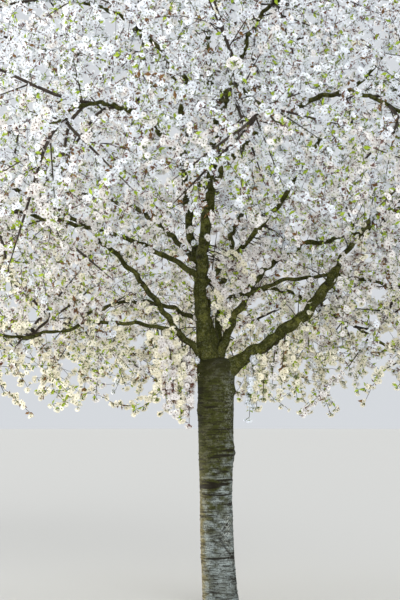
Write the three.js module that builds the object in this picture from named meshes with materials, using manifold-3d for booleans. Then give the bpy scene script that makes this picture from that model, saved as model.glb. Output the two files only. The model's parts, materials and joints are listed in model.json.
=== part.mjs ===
// A cherry tree in full blossom: a clear trunk, boughs from its fork and masses of blossom.
// Millimetres, +Z up. The origin is the centre of the flat cut at ground level.
// Headings are degrees round the trunk from +X towards +Y, and climbs are degrees above level.
import * as THREE from 'three';
import Module from 'manifold-3d';

const wasm = await Module();
wasm.setup();

// The crown's outline: an egg with a raised lower edge in front and a hollow round the fork
const CROWN_REACH = 2750;
const CROWN_MIDDLE = 3300;
const CROWN_RISE = 2250;
const LOW_EDGE = 1420;
const FRONT_RAISE = 1350;
const HOLLOW_REACH = 950;
const HOLLOW_MIDDLE = 2500;
const HOLLOW_RISE = 1150;

// The trunk: diameters up to the fork, and the rounded head that the boughs leave
const FORK_HEIGHT = 1850;
const HEAD_HEIGHT = 1912;
const HEAD_TOP = 0.25;
const TRUNK_DIAMETERS = [
  { share: 0, diameter: 254 },
  { share: 0.2, diameter: 254 },
  { share: 0.46, diameter: 248 },
  { share: 0.66, diameter: 272 },
  { share: 1, diameter: 289 },
];
const TRUNK_BOW = 27;
const TRUNK_BOW_HEIGHT = 900;
const TRUNK_SIDES = 24;
const TRUNK_RINGS = 16;
const HEAD_RINGS = 4;
const RING_CROWDING = 1.2;
const FLARE = { out: 20, fall: 85, heading: -15, least: 0.25, ribs: 5, ribDepth: 0.3 };
const TRUNK_WAVES = [
  { ribs: 2, depth: 0.022, twist: 0.0016 },
  { ribs: 3, depth: 0.014, twist: -0.0025 },
];
const KNOTS = [
  { heading: -8, height: 1170, out: 17, spread: 62 },
  { heading: -12, height: 1648, out: 15, spread: 34 },
  { heading: 172, height: 1500, out: 9, spread: 70 },
];

// Limbs: parent, where it leaves, heading, climb at its start, in its sweep and at its tip, length,
// thickness at both ends, and the middle of its mass as heading, distance from the trunk and height
const LIMBS = {
  leader: {
    parent: 'trunk', start: [-62, 0, 1827], heading: 0, climb: [109, 60, 102], length: 2300,
    thick: [108, 58], mass: [-20, 150, 4900],
  },
  right_bough: {
    parent: 'trunk', start: [24, -10, 1790], heading: -13, climb: [36, 20, 68], length: 1180,
    thick: [98, 76], mass: [-8, 1950, 3250],
  },
  second_leader: {
    parent: 'trunk', start: [-4, 60, 1806], heading: 150, climb: [76, 74, 92], length: 2050,
    thick: [80, 44], mass: [150, 1200, 4350],
  },
  inner_bough: {
    parent: 'trunk', start: [-25, 44, 1854], heading: 28, climb: [70, 62, 3], length: 1500,
    thick: [62, 36], mass: [36, 1950, 3300],
  },
  left_bough: {
    parent: 'trunk', start: [-78, -14, 1887], heading: 178, climb: [33, 70, 42], length: 1050,
    thick: [50, 36], mass: [170, 1950, 3300],
  },
  back_bough: {
    parent: 'trunk', start: [-34, 66, 1830], heading: 78, climb: [70, 62, 20], length: 1650,
    thick: [58, 38], mass: [86, 2000, 3350],
  },
  left_arm: {
    parent: 'leader', along: 0.31, heading: -172, climb: [32, 26, 10], length: 1000,
    thick: [42, 32], mass: [-162, 1850, 3050],
  },
  right_arm: {
    parent: 'leader', along: 0.28, heading: -4, climb: [42, 46, 62], length: 1350,
    thick: [46, 34], mass: [-4, 1300, 4250],
  },
  front_left_bough: {
    parent: 'leader', along: 0.56, heading: -122, climb: [46, 34, 4], length: 1250,
    thick: [52, 36], mass: [-122, 1900, 3550],
  },
  front_bough: {
    parent: 'leader', along: 0.67, heading: -84, climb: [40, 24, 0], length: 1250,
    thick: [50, 36], mass: [-84, 1900, 3600],
  },
  front_right_bough: {
    parent: 'leader', along: 0.61, heading: -46, climb: [44, 30, 6], length: 1300,
    thick: [52, 36], mass: [-46, 1900, 3500],
  },
  high_back_bough: {
    parent: 'leader', along: 0.74, heading: 78, climb: [52, 46, 40], length: 850,
    thick: [46, 34], mass: [74, 1200, 4450],
  },
  high_left_bough: {
    parent: 'leader', along: 0.8, heading: -138, climb: [54, 46, 38], length: 800,
    thick: [44, 34], mass: [-138, 1200, 4450],
  },
  high_right_bough: {
    parent: 'leader', along: 0.86, heading: -62, climb: [52, 44, 36], length: 750,
    thick: [44, 34], mass: [-64, 1200, 4450],
  },
  right_low_bough: {
    parent: 'inner_bough', along: 0.42, heading: 4, climb: [24, 8, -14], length: 1000,
    thick: [32, 24], mass: [0, 1800, 2150],
  },
  back_right_low_bough: {
    parent: 'back_bough', along: 0.34, heading: 48, climb: [24, 6, -20], length: 1150,
    thick: [34, 24], mass: [44, 1750, 2130],
  },
  back_low_bough: {
    parent: 'back_bough', along: 0.56, heading: 96, climb: [14, -8, -34], length: 900,
    thick: [32, 24], mass: [86, 1900, 2130],
  },
  back_left_low_bough: {
    parent: 'second_leader', along: 0.16, heading: 140, climb: [32, 12, -18], length: 1300,
    thick: [38, 24], mass: [132, 1900, 2150],
  },
  back_left_bough: {
    parent: 'second_leader', along: 0.42, heading: 128, climb: [42, 32, 12], length: 1250,
    thick: [44, 32], mass: [127, 1950, 3350],
  },
  left_low_bough: {
    parent: 'left_bough', along: 0.3, heading: -168, climb: [16, 4, -18], length: 950,
    thick: [32, 24], mass: [-180, 1950, 2150],
  },
};

// How limbs are drawn, and the clear space between two pieces
const LIMB_SEGMENT = 190;
const LIMB_SIDES = 6;
const THICK_LIMB = 70;
const THICK_LIMB_SIDES = 8;
const LIMB_SWAY = 7;
const SWAY_LENGTH = 900;
const COLLAR = 0.22;
const COLLAR_FALL = 70;
const CLEARANCE = 0.3;

// Blossom masses: a stem with twigs, and three-sided sprays of blossom that stand out from them
const STEM_STEPS = 5;
const STEM_OVERSHOOT = 120;
const MASS_STEM_SIDES = 5;
const TWIG_COUNT = 6;
const TWIG_TRIES = 30;
const TWIG_DRAWS = 14;
const TWIG_STEPS = 2;
const TWIG_SPREAD = 1000;
const TWIG_THICK = [24, 15];
const TWIG_STARTS = [0.3, 0.45, 0.6, 0.75, 0.9, 1];
const TWIG_LEAD = 500;
const TWIG_TESTS = [0.25, 0.5, 0.75, 1];
const SIDE_SPRAYS = [0.4, 0.75];
const SPRAY_DRAWS = 6;
const SPRAY_LENGTH = [400, 540];
const SPRAY_WIDTH = 0.42;
const SPRAY_FULLEST = 0.52;
const SPRAY_ROOT = 5;
const SPRAY_LEAN = [45, 75];
const SPACE_MARGIN = 12;

const MAXIMUM = 4294967296;
const UP = new THREE.Vector3(0, 0, 1);
const STEEP = 0.9;

// Directions, seeded numbers and small measures
function bearing(heading, climb) {
  const turn = THREE.MathUtils.degToRad(heading);
  const rise = THREE.MathUtils.degToRad(climb);
  return new THREE.Vector3(
    Math.cos(rise) * Math.cos(turn),
    Math.cos(rise) * Math.sin(turn),
    Math.sin(rise),
  );
}

function seededNumbers(seed) {
  let state = seed;
  return (low, high) => {
    state = (Math.imul(state, 1664525) + 1013904223) >>> 0;
    return low + (high - low) * (state / MAXIMUM);
  };
}

function placeAt([heading, out, height]) {
  return bearing(heading, 0).multiplyScalar(out).setZ(height);
}

function pointAlong(points, share) {
  const place = share * (points.length - 1);
  const index = Math.min(Math.floor(place), points.length - 2);
  return points[index].clone().lerp(points[index + 1], place - index);
}

function directionAlong(points, share) {
  const index = Math.min(Math.floor(share * (points.length - 1)), points.length - 2);
  return points[index + 1].clone().sub(points[index]).normalize();
}

function sideways(direction) {
  const reference = Math.abs(direction.z) > STEEP ? new THREE.Vector3(1, 0, 0) : UP;
  return reference.clone().cross(direction).normalize();
}

// Closed solids as vertex and triangle lists
function solidFrom(vertices, triangles) {
  const mesh = new wasm.Mesh({
    numProp: 3,
    vertProperties: new Float32Array(vertices),
    triVerts: new Uint32Array(triangles),
  });
  return new wasm.Manifold(mesh);
}

// Rings follow one another up a piece, and a ring of one vertex is a point
function joinRings(vertices, rings, sides) {
  const triangles = [];
  const corner = (ring, side) => ring.first + (ring.count > 1 ? side % sides : 0);
  for (let index = 1; index < rings.length; index += 1) {
    const low = rings[index - 1];
    const high = rings[index];
    for (let side = 0; side < sides; side += 1) {
      if (low.count > 1) {
        triangles.push(corner(low, side), corner(low, side + 1), corner(high, side + 1));
      }
      if (high.count > 1) {
        triangles.push(corner(low, side), corner(high, side + 1), corner(high, side));
      }
    }
  }
  const bottom = rings[0];
  const top = rings.at(-1);
  for (let side = 1; side < sides - 1; side += 1) {
    if (bottom.count > 1) {
      triangles.push(bottom.first, bottom.first + side + 1, bottom.first + side);
    }
    if (top.count > 1) {
      triangles.push(top.first, top.first + side, top.first + side + 1);
    }
  }
  return solidFrom(vertices, triangles);
}

function sweptSolid(points, radii, sides) {
  const vertices = [];
  const rings = [];
  let across = sideways(directionAlong(points, 0));
  points.forEach((point, index) => {
    const before = points[Math.max(index - 1, 0)];
    const after = points[Math.min(index + 1, points.length - 1)];
    const along = after.clone().sub(before).normalize();
    across = across.clone().addScaledVector(along, -across.dot(along)).normalize();
    const other = along.clone().cross(across);
    const count = radii[index] > 0 ? sides : 1;
    rings.push({ first: vertices.length / 3, count });
    for (let side = 0; side < count; side += 1) {
      const angle = (2 * Math.PI * side) / sides;
      const vertex = point.clone();
      vertex.addScaledVector(across, radii[index] * Math.cos(angle));
      vertex.addScaledVector(other, radii[index] * Math.sin(angle));
      vertices.push(vertex.x, vertex.y, vertex.z);
    }
  });
  return joinRings(vertices, rings, sides);
}

// The largest body alone: a loose scrap is dropped and a sealed hollow is filled
function largestBody(solid) {
  return solid.decompose().reduce((a, b) => (b.volume() > a.volume() ? b : a));
}

// The trunk: tapered, bowed and knotted, with a flare at the ground and a rounded head
function trunkDiameter(height) {
  const share = Math.min(height / FORK_HEIGHT, 1);
  const upper = Math.max(TRUNK_DIAMETERS.findIndex((row) => row.share >= share), 1);
  const below = TRUNK_DIAMETERS[upper - 1];
  const above = TRUNK_DIAMETERS[upper];
  const blend = (share - below.share) / (above.share - below.share);
  return THREE.MathUtils.lerp(below.diameter, above.diameter, blend);
}

function knotOut(turn, height) {
  return KNOTS.reduce((total, knot) => {
    const around = Math.cos(turn - THREE.MathUtils.degToRad(knot.heading)) - 1;
    const radius = trunkDiameter(height) / 2;
    const squared = -2 * around * radius ** 2 + (height - knot.height) ** 2;
    return total + knot.out * Math.exp(-squared / knot.spread ** 2);
  }, 0);
}

function trunkRadius(turn, height) {
  const waves = TRUNK_WAVES.reduce(
    (total, wave) => total + wave.depth * Math.cos(wave.ribs * turn + wave.twist * height),
    1,
  );
  const facing = (1 + Math.cos(turn - THREE.MathUtils.degToRad(FLARE.heading))) / 2;
  const ribs = 1 + FLARE.ribDepth * Math.cos(FLARE.ribs * turn);
  const reach = FLARE.out * THREE.MathUtils.lerp(FLARE.least, 1, facing);
  const flare = reach * Math.exp(-height / FLARE.fall) * ribs;
  const above = Math.max(height - FORK_HEIGHT, 0) / (HEAD_HEIGHT - FORK_HEIGHT);
  const head = Math.max(Math.sqrt(1 - above ** 2), HEAD_TOP);
  return ((trunkDiameter(height) / 2) * waves + flare + knotOut(turn, height)) * head;
}

function trunkHeights() {
  const heights = [];
  for (let ring = 0; ring <= TRUNK_RINGS; ring += 1) {
    heights.push(FORK_HEIGHT * (ring / TRUNK_RINGS) ** RING_CROWDING);
  }
  for (let ring = 1; ring <= HEAD_RINGS; ring += 1) {
    const share = Math.sin((Math.PI / 2) * (ring / HEAD_RINGS));
    heights.push(FORK_HEIGHT + (HEAD_HEIGHT - FORK_HEIGHT) * share);
  }
  return heights;
}

function trunkSolid(growth) {
  const vertices = [];
  const rings = [];
  trunkHeights().forEach((height) => {
    rings.push({ first: vertices.length / 3, count: TRUNK_SIDES });
    const bow = -TRUNK_BOW * Math.sin((Math.PI / 2) * Math.min(height / TRUNK_BOW_HEIGHT, 1));
    for (let side = 0; side < TRUNK_SIDES; side += 1) {
      const turn = (2 * Math.PI * side) / TRUNK_SIDES;
      const radius = trunkRadius(turn, height) + growth;
      vertices.push(bow + radius * Math.cos(turn), radius * Math.sin(turn));
      vertices.push(height === HEAD_HEIGHT ? height + growth : height);
    }
  });
  return joinRings(vertices, rings, TRUNK_SIDES);
}

// Limbs: each sweeps from its start with a changing climb and a slight sway
function limbPoints(limb, order, start) {
  const steps = Math.ceil(limb.length / LIMB_SEGMENT);
  const points = [start];
  for (let step = 0; step < steps; step += 1) {
    const share = (step + 0.5) / steps;
    const phase = (2 * Math.PI * share * limb.length) / SWAY_LENGTH + order;
    const heading = limb.heading + LIMB_SWAY * Math.sin(phase);
    const early = THREE.MathUtils.lerp(limb.climb[0], limb.climb[1], share);
    const late = THREE.MathUtils.lerp(limb.climb[1], limb.climb[2], share);
    const stride = bearing(heading, THREE.MathUtils.lerp(early, late, share));
    points.push(points[step].clone().addScaledVector(stride, limb.length / steps));
  }
  return points;
}

function limbRadius(limb, share) {
  const collar = COLLAR * Math.exp((-share * limb.length) / COLLAR_FALL);
  return (THREE.MathUtils.lerp(limb.thick[0], limb.thick[1], share) / 2) * (1 + collar);
}

const grownLimbs = {};
Object.entries(LIMBS).forEach(([name, limb], order) => {
  const start = limb.parent === 'trunk'
    ? new THREE.Vector3(...limb.start)
    : pointAlong(grownLimbs[limb.parent].points, limb.along);
  const points = limbPoints(limb, order, start);
  grownLimbs[name] = { name, limb, order, points, middle: placeAt(limb.mass) };
});

function limbSolid(grown, growth) {
  const sides = grown.limb.thick[0] > THICK_LIMB ? THICK_LIMB_SIDES : LIMB_SIDES;
  const last = grown.points.length - 1;
  const radii = grown.points.map((_, index) => limbRadius(grown.limb, index / last) + growth);
  return sweptSolid(grown.points, radii, sides);
}

// Each limb is cut clear of the trunk and of the limbs before it
function cutLimbs() {
  const grownSolids = Object.values(grownLimbs);
  const obstacles = [trunkSolid(CLEARANCE)];
  return grownSolids.map((grown) => {
    const cut = obstacles.reduce((solid, other) => solid.subtract(other), limbSolid(grown, 0));
    obstacles.push(limbSolid(grown, CLEARANCE));
    return largestBody(cut);
  });
}

// The space of one mass: nearer to its own middle than to any other, inside the crown's outline
function lowEdge(point) {
  const front = Math.max(-point.y / Math.hypot(point.x, point.y, 1), 0);
  return LOW_EDGE + FRONT_RAISE * front;
}

function insideOutline(point, margin) {
  const reach = CROWN_REACH - margin;
  const rise = (point.z - CROWN_MIDDLE) / (CROWN_RISE - margin);
  const outer = Math.hypot(point.x / reach, point.y / reach, rise);
  return outer < 1 && point.z > lowEdge(point) + margin;
}

function insideHollow(point) {
  const rise = (point.z - HOLLOW_MIDDLE) / HOLLOW_RISE;
  return Math.hypot(point.x / HOLLOW_REACH, point.y / HOLLOW_REACH, rise) < 1;
}

function insideSpace(point, middle, margin) {
  const own = point.distanceToSquared(middle);
  return insideOutline(point, margin) && Object.values(grownLimbs).every((grown) => {
    const gap = point.distanceToSquared(grown.middle) - own;
    return grown.middle === middle || gap > 2 * margin * grown.middle.distanceTo(middle);
  });
}

function clearOfPath(point, clearance, points, thickness) {
  const nearest = new THREE.Vector3();
  for (let index = 0; index < points.length - 1; index += 1) {
    new THREE.Line3(points[index], points[index + 1]).closestPointToPoint(point, true, nearest);
    const radius = thickness(index / (points.length - 1)) / 2;
    if (nearest.distanceTo(point) < radius + clearance) {
      return false;
    }
  }
  return true;
}

// Clear of every limb and of the stems of the other masses
function clearOfWood(point, radius, grown) {
  const clearance = radius + SPACE_MARGIN;
  return Object.values(grownLimbs).every((other) => {
    const limb = (share) => 2 * limbRadius(other.limb, share);
    const stem = (share) => THREE.MathUtils.lerp(other.limb.thick[1], TWIG_THICK[0], share);
    return clearOfPath(point, clearance, other.points, limb)
      && (other === grown || clearOfPath(point, clearance, other.stem, stem));
  });
}

// The curve of a stem or twig: it sets off along one direction and bends to its goal
function bentCurve(start, direction, goal, steps) {
  const control = start.clone().addScaledVector(direction, start.distanceTo(goal) / 2);
  return new THREE.QuadraticBezierCurve3(start, control, goal).getPoints(steps);
}

function massStem(grown) {
  const tip = grown.points.at(-1);
  const direction = directionAlong(grown.points, 1);
  const outward = grown.middle.clone().sub(tip).normalize();
  const goal = grown.middle.clone().addScaledVector(outward, STEM_OVERSHOOT);
  const root = tip.clone().addScaledVector(direction, CLEARANCE);
  const neck = tip.clone().addScaledVector(direction, grown.limb.thick[1]);
  return [root, ...bentCurve(neck, direction, goal, STEM_STEPS)];
}
Object.values(grownLimbs).forEach((grown) => {
  grown.stem = massStem(grown);
});

// A spray fits where its fullest part and its tip keep to the space and touch nothing
function sprayFits(spray, grown, sprays) {
  const half = (spray.length * SPRAY_WIDTH) / 2;
  return insideSpace(spray.middle, grown.middle, half)
    && insideSpace(spray.tip, grown.middle, SPACE_MARGIN)
    && !insideHollow(spray.middle)
    && clearOfWood(spray.middle, half, grown)
    && clearOfWood(spray.tip, 0, grown)
    && sprays.every((other) => other.middle.distanceTo(spray.middle) > 2 * half);
}

function sprayFrom(root, direction, length) {
  const middle = root.clone().addScaledVector(direction, length * SPRAY_FULLEST);
  const tip = root.clone().addScaledVector(direction, length);
  return { root, direction, length, middle, tip };
}

// Each twig reaches for the open place that is furthest from the twigs before it
function twigGoal(grown, taken, random) {
  let best = null;
  let bestDistance = 0;
  for (let draw = 0; draw < TWIG_DRAWS; draw += 1) {
    const goal = grown.middle.clone();
    goal.x += random(-TWIG_SPREAD, TWIG_SPREAD);
    goal.y += random(-TWIG_SPREAD, TWIG_SPREAD);
    goal.z += random(-TWIG_SPREAD, TWIG_SPREAD);
    const distance = Math.min(...taken.map((other) => other.distanceTo(goal)));
    const open = insideSpace(goal, grown.middle, SPRAY_LENGTH[1] * SPRAY_WIDTH);
    if (open && distance > bestDistance) {
      best = goal;
      bestDistance = distance;
    }
  }
  return best;
}

function twigPoints(grown, goal) {
  const lengths = TWIG_STARTS.map((share) => {
    return pointAlong(grown.stem, share).distanceTo(goal) + TWIG_LEAD * share;
  });
  const share = TWIG_STARTS[lengths.indexOf(Math.min(...lengths))];
  const start = pointAlong(grown.stem, share);
  return bentCurve(start, directionAlong(grown.stem, share), goal, TWIG_STEPS);
}

function clearOfSprays(points, sprays) {
  const thick = () => SPRAY_WIDTH * SPRAY_LENGTH[0];
  return sprays.every((spray) => clearOfPath(spray.middle, 0, points, thick));
}

function twigFits(twig, grown, sprays) {
  const places = TWIG_TESTS.map((share) => pointAlong(twig, share));
  return clearOfSprays(twig, sprays) && places.every((place) => {
    return insideSpace(place, grown.middle, SPACE_MARGIN) && clearOfWood(place, TWIG_THICK[0], grown);
  });
}

function massTwigs(grown, random, sprays) {
  const taken = [grown.stem.at(-1)];
  const twigs = [];
  for (let count = 0; count < TWIG_TRIES && twigs.length < TWIG_COUNT; count += 1) {
    const goal = twigGoal(grown, taken, random);
    const length = random(...SPRAY_LENGTH);
    if (goal) {
      const points = twigPoints(grown, goal);
      const spray = sprayFrom(goal, directionAlong(points, 1), length);
      if (twigFits(points, grown, sprays) && sprayFits(spray, grown, sprays)) {
        taken.push(goal);
        sprays.push(spray);
        twigs.push({ points, spray });
      }
    }
  }
  return twigs;
}

// A side spray leans away from its twig, and the first place that fits is taken
function sideSpray(grown, points, others, share, random, sprays) {
  const along = directionAlong(points, share);
  for (let draw = 0; draw < SPRAY_DRAWS; draw += 1) {
    const side = sideways(along).applyAxisAngle(along, random(0, 2 * Math.PI));
    const lean = THREE.MathUtils.degToRad(random(...SPRAY_LEAN));
    const direction = along.clone().multiplyScalar(Math.cos(lean));
    direction.addScaledVector(side, Math.sin(lean));
    const spray = sprayFrom(pointAlong(points, share), direction, random(...SPRAY_LENGTH));
    const clear = others.every((other) => clearOfSprays(other, [spray]));
    if (clear && sprayFits(spray, grown, sprays)) {
      return spray;
    }
  }
  return null;
}

function growMass(grown) {
  const random = seededNumbers(grown.order + 1);
  const stem = grown.stem;
  const lead = sprayFrom(stem.at(-1), directionAlong(stem, 1), SPRAY_LENGTH[1]);
  const sprays = [lead];
  const twigs = massTwigs(grown, random, sprays);
  const sides = [];
  const carriers = [...twigs.map((twig) => twig.points), stem];
  carriers.forEach((points) => {
    const others = carriers.filter((other) => other !== points);
    SIDE_SPRAYS.forEach((share) => {
      const spray = sideSpray(grown, points, others, share, random, sprays);
      if (spray) {
        sides.push(spray);
        sprays.push(spray);
      }
    });
  });
  return { lead, twigs, sides };
}

// A stem or twig that ends in its own spray, as one piece
function sprayedPath(points, thick, spray, sides) {
  const last = points.length - 1;
  const radii = points.map((_, index) => THREE.MathUtils.lerp(...thick, index / last) / 2);
  const half = (spray.length * SPRAY_WIDTH) / 2;
  return sweptSolid([...points, spray.middle, spray.tip], [...radii, half, 0], sides);
}

function sideSpraySolid(spray) {
  const root = spray.root.clone().addScaledVector(spray.direction, -SPRAY_ROOT);
  const half = (spray.length * SPRAY_WIDTH) / 2;
  return sweptSolid([root, spray.middle, spray.tip], [0, half, 0], 3);
}

function massSolid(grown) {
  const { lead, twigs, sides } = growMass(grown);
  const stemThick = [grown.limb.thick[1], TWIG_THICK[0]];
  const pieces = [
    sprayedPath(grown.stem, stemThick, lead, MASS_STEM_SIDES),
    ...twigs.map((twig) => sprayedPath(twig.points, TWIG_THICK, twig.spray, 3)),
    ...sides.map(sideSpraySolid),
  ];
  return largestBody(pieces.reduce((whole, piece) => whole.add(piece)));
}

// The tree as a scene graph
const BARK = { color: 0x7d756a, roughness: 0.85, metalness: 0 };
const MOSSY_BARK = { color: 0x6a6350, roughness: 0.9, metalness: 0 };
const BLOSSOM = { color: 0xf3edf3, roughness: 0.7, metalness: 0 };

function meshOf(name, solid, finish) {
  const { vertProperties, triVerts } = solid.getMesh();
  const geometry = new THREE.BufferGeometry();
  geometry.setAttribute('position', new THREE.BufferAttribute(vertProperties, 3));
  geometry.setIndex(new THREE.BufferAttribute(triVerts, 1));
  geometry.computeVertexNormals();
  const mesh = new THREE.Mesh(geometry, new THREE.MeshStandardMaterial(finish));
  mesh.name = name;
  return mesh;
}

const group = new THREE.Group();
group.add(meshOf('trunk', trunkSolid(0), BARK));
const limbSolids = cutLimbs();
Object.values(grownLimbs).forEach((grown) => {
  group.add(meshOf(grown.name, limbSolids[grown.order], MOSSY_BARK));
  const massName = `${grown.name.replace(/_bough$/, '')}_blossom`;
  group.add(meshOf(massName, massSolid(grown), BLOSSOM));
});

export default group;
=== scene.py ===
# A cherry tree in full blossom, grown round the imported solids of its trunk, boughs and masses
import json
import math
from collections import namedtuple

import bpy
import numpy as np
from bpy.props import FloatProperty, FloatVectorProperty, PointerProperty
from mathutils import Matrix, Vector

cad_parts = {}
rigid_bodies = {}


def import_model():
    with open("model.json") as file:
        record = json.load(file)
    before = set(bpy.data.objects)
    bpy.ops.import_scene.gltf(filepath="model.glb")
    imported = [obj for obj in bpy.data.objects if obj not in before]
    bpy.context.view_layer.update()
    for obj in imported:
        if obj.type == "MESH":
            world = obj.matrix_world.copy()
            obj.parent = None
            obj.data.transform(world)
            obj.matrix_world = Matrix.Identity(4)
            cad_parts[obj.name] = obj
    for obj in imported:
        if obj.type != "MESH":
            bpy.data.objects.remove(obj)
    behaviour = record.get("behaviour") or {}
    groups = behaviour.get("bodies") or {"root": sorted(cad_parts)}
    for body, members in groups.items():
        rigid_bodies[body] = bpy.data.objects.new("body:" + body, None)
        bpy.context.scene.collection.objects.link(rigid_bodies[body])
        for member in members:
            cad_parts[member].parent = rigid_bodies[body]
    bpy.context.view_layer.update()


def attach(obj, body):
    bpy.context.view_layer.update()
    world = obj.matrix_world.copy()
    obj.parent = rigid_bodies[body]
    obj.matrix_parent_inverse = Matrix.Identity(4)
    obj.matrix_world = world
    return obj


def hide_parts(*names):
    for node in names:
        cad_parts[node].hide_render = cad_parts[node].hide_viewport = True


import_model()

bl_info = {
    "name": "Cherry Tree in Blossom",
    "version": (1, 0, 0),
    "blender": (4, 5, 0),
    "location": "View3D > Sidebar > Cherry Tree",
    "description": "Grows the bark, twigs, blossom and young leaves of a cherry tree round its solids",
    "category": "Add Mesh",
}

MILLIMETRE = 0.001
TURN = 2 * np.pi

# The crown's outline and the hollow round the fork, in millimetres as in the solids
CROWN_REACH = 2750
CROWN_MIDDLE = 3300
CROWN_RISE = 2250
LOW_EDGE = 1420
FRONT_RAISE = 1350
HOLLOW_REACH = 950
HOLLOW_MIDDLE = 2500
HOLLOW_RISE = 1150

# The trunk: shares of the fork's height and the diameter there
FORK_HEIGHT = 1850
HEAD_HEIGHT = 1912
HEAD_TOP = 0.25
TRUNK_SHARES = (0, 0.2, 0.46, 0.66, 1)
TRUNK_DIAMETERS = (254, 254, 248, 272, 289)
TRUNK_BOW = 27
TRUNK_BOW_HEIGHT = 900
FLARE_OUT = 20
FLARE_FALL = 85
FLARE_HEADING = -15
FLARE_LEAST = 0.25
FLARE_RIBS = 5
FLARE_RIB_DEPTH = 0.3
SLENDERNESS = 14
TRUNK_WAVES = ((2, 0.022, 0.0016), (3, 0.014, -0.0025))
KNOTS = ((-8, 1170, 17, 62), (-12, 1648, 15, 34), (172, 1500, 9, 70))

# Limbs: climb at the start, in the sweep and at the tip, and the mass by heading, distance, height
Limb = namedtuple("Limb", "parent start heading climb length thick mass")
LIMBS = {name: Limb(*limb) for name, *limb in (
    ("leader", "trunk", (-62, 0, 1827), 0, (109, 60, 102), 2300, (108, 58), (-20, 150, 4900)),
    ("right_bough", "trunk", (24, -10, 1790), -13, (36, 20, 68), 1180, (98, 76), (-8, 1950, 3250)),
    ("second_leader", "trunk", (-4, 60, 1806), 150, (76, 74, 92), 2050, (80, 44), (150, 1200, 4350)),
    ("inner_bough", "trunk", (-25, 44, 1854), 28, (70, 62, 3), 1500, (62, 36), (36, 1950, 3300)),
    ("left_bough", "trunk", (-78, -14, 1887), 178, (33, 70, 42), 1050, (50, 36), (170, 1950, 3300)),
    ("back_bough", "trunk", (-34, 66, 1830), 78, (70, 62, 20), 1650, (58, 38), (86, 2000, 3350)),
    ("left_arm", "leader", 0.31, -172, (32, 26, 10), 1000, (42, 32), (-162, 1850, 3050)),
    ("right_arm", "leader", 0.28, -4, (42, 46, 62), 1350, (46, 34), (-4, 1300, 4250)),
    ("front_left_bough", "leader", 0.56, -122, (46, 34, 4), 1250, (52, 36), (-122, 1900, 3550)),
    ("front_bough", "leader", 0.67, -84, (40, 24, 0), 1250, (50, 36), (-84, 1900, 3600)),
    ("front_right_bough", "leader", 0.61, -46, (44, 30, 6), 1300, (52, 36), (-46, 1900, 3500)),
    ("high_back_bough", "leader", 0.74, 78, (52, 46, 40), 850, (46, 34), (74, 1200, 4450)),
    ("high_left_bough", "leader", 0.8, -138, (54, 46, 38), 800, (44, 34), (-138, 1200, 4450)),
    ("high_right_bough", "leader", 0.86, -62, (52, 44, 36), 750, (44, 34), (-64, 1200, 4450)),
    ("right_low_bough", "inner_bough", 0.42, 4, (24, 8, -14), 1000, (32, 24), (0, 1800, 2150)),
    ("back_right_low_bough", "back_bough", 0.34, 48, (24, 6, -20), 1150, (34, 24), (44, 1750, 2130)),
    ("back_low_bough", "back_bough", 0.56, 96, (14, -8, -34), 900, (32, 24), (86, 1900, 2130)),
    ("back_left_low_bough", "second_leader", 0.16, 140, (32, 12, -18), 1300, (38, 24), (132, 1900, 2150)),
    ("back_left_bough", "second_leader", 0.42, 128, (42, 32, 12), 1250, (44, 32), (127, 1950, 3350)),
    ("left_low_bough", "left_bough", 0.3, -168, (16, 4, -18), 950, (32, 24), (-180, 1950, 2150)),
)}

# How limbs are drawn
LIMB_SEGMENT = 190
LIMB_SWAY = 7
SWAY_LENGTH = 900
COLLAR = 0.22
COLLAR_FALL = 70
CLEARANCE = 0.3

# The masses' rule, as in the solids
STEM_STEPS = 5
STEM_OVERSHOOT = 120
TWIG_COUNT = 6
TWIG_TRIES = 30
TWIG_DRAWS = 14
TWIG_STEPS = 2
TWIG_SPREAD = 1000
TWIG_THICK = (24, 15)
TWIG_STARTS = (0.3, 0.45, 0.6, 0.75, 0.9, 1)
TWIG_LEAD = 500
TWIG_TESTS = (0.25, 0.5, 0.75, 1)
SIDE_SPRAYS = (0.4, 0.75)
SPRAY_DRAWS = 6
SPRAY_LENGTH = (400, 540)
SPRAY_WIDTH = 0.42
SPRAY_FULLEST = 0.52
SPRAY_LEAN = (45, 75)
SPACE_MARGIN = 12
STEEP = 0.9
Spray = namedtuple("Spray", "root direction length middle tip")
GENERATOR_FACTOR = 1664525
GENERATOR_STEP = 1013904223
GENERATOR_SIZE = 4294967296

# Finer twigs carry the rule on: each reaches for the open place that is furthest from the wood
FINE_TWIGS = 150
FINE_PLACES = 2600
FINE_DRAWS = 4 * FINE_PLACES
FINE_SPREAD = 1300
FINE_MARGIN = 62
FINE_SIDE_MARGIN = 25
FINE_RINGS = 6
FINE_THICK = (12, 4.2)
FINE_TAKES = 0.75
FINE_FORWARD = 0.42
FINE_PARENT_PULL = 0.7
FINE_DROOP = 0.09
FINE_LEVEL = 0.4
FINE_JOINTS = (0.3, 0.5, 0.7, 0.85, 1)
FINE_KINK = 4
RAGGED_SIDE = 260
RAGGED_LOW = 330
RAGGED_LENGTHS = (520, 680, 850)
BACK_HOLLOW = 0.72
WOOD_SAMPLES = 9
WOOD_FIRST = 0.15
CLOUD_EASE = 0.6
AXIS_THICK = (13, 4)


def between(ends, share):
    """The value at a share of the way between two ends."""
    return ends[0] + (ends[1] - ends[0]) * share


def smooth_step(low, high, value):
    """A value's share of the way between two limits, eased at both: three times the share's
    square less twice its cube."""
    share = np.clip((value - low) / (high - low), 0, 1)
    return share * share * (3 - 2 * share)


def bearing(heading, climb):
    """Unit vector of a heading round the trunk and a climb above level, both in degrees."""
    turn, rise = np.radians(heading), np.radians(climb)
    return np.stack(np.broadcast_arrays(
        np.cos(rise) * np.cos(turn), np.cos(rise) * np.sin(turn), np.sin(rise)), axis=-1)


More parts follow.
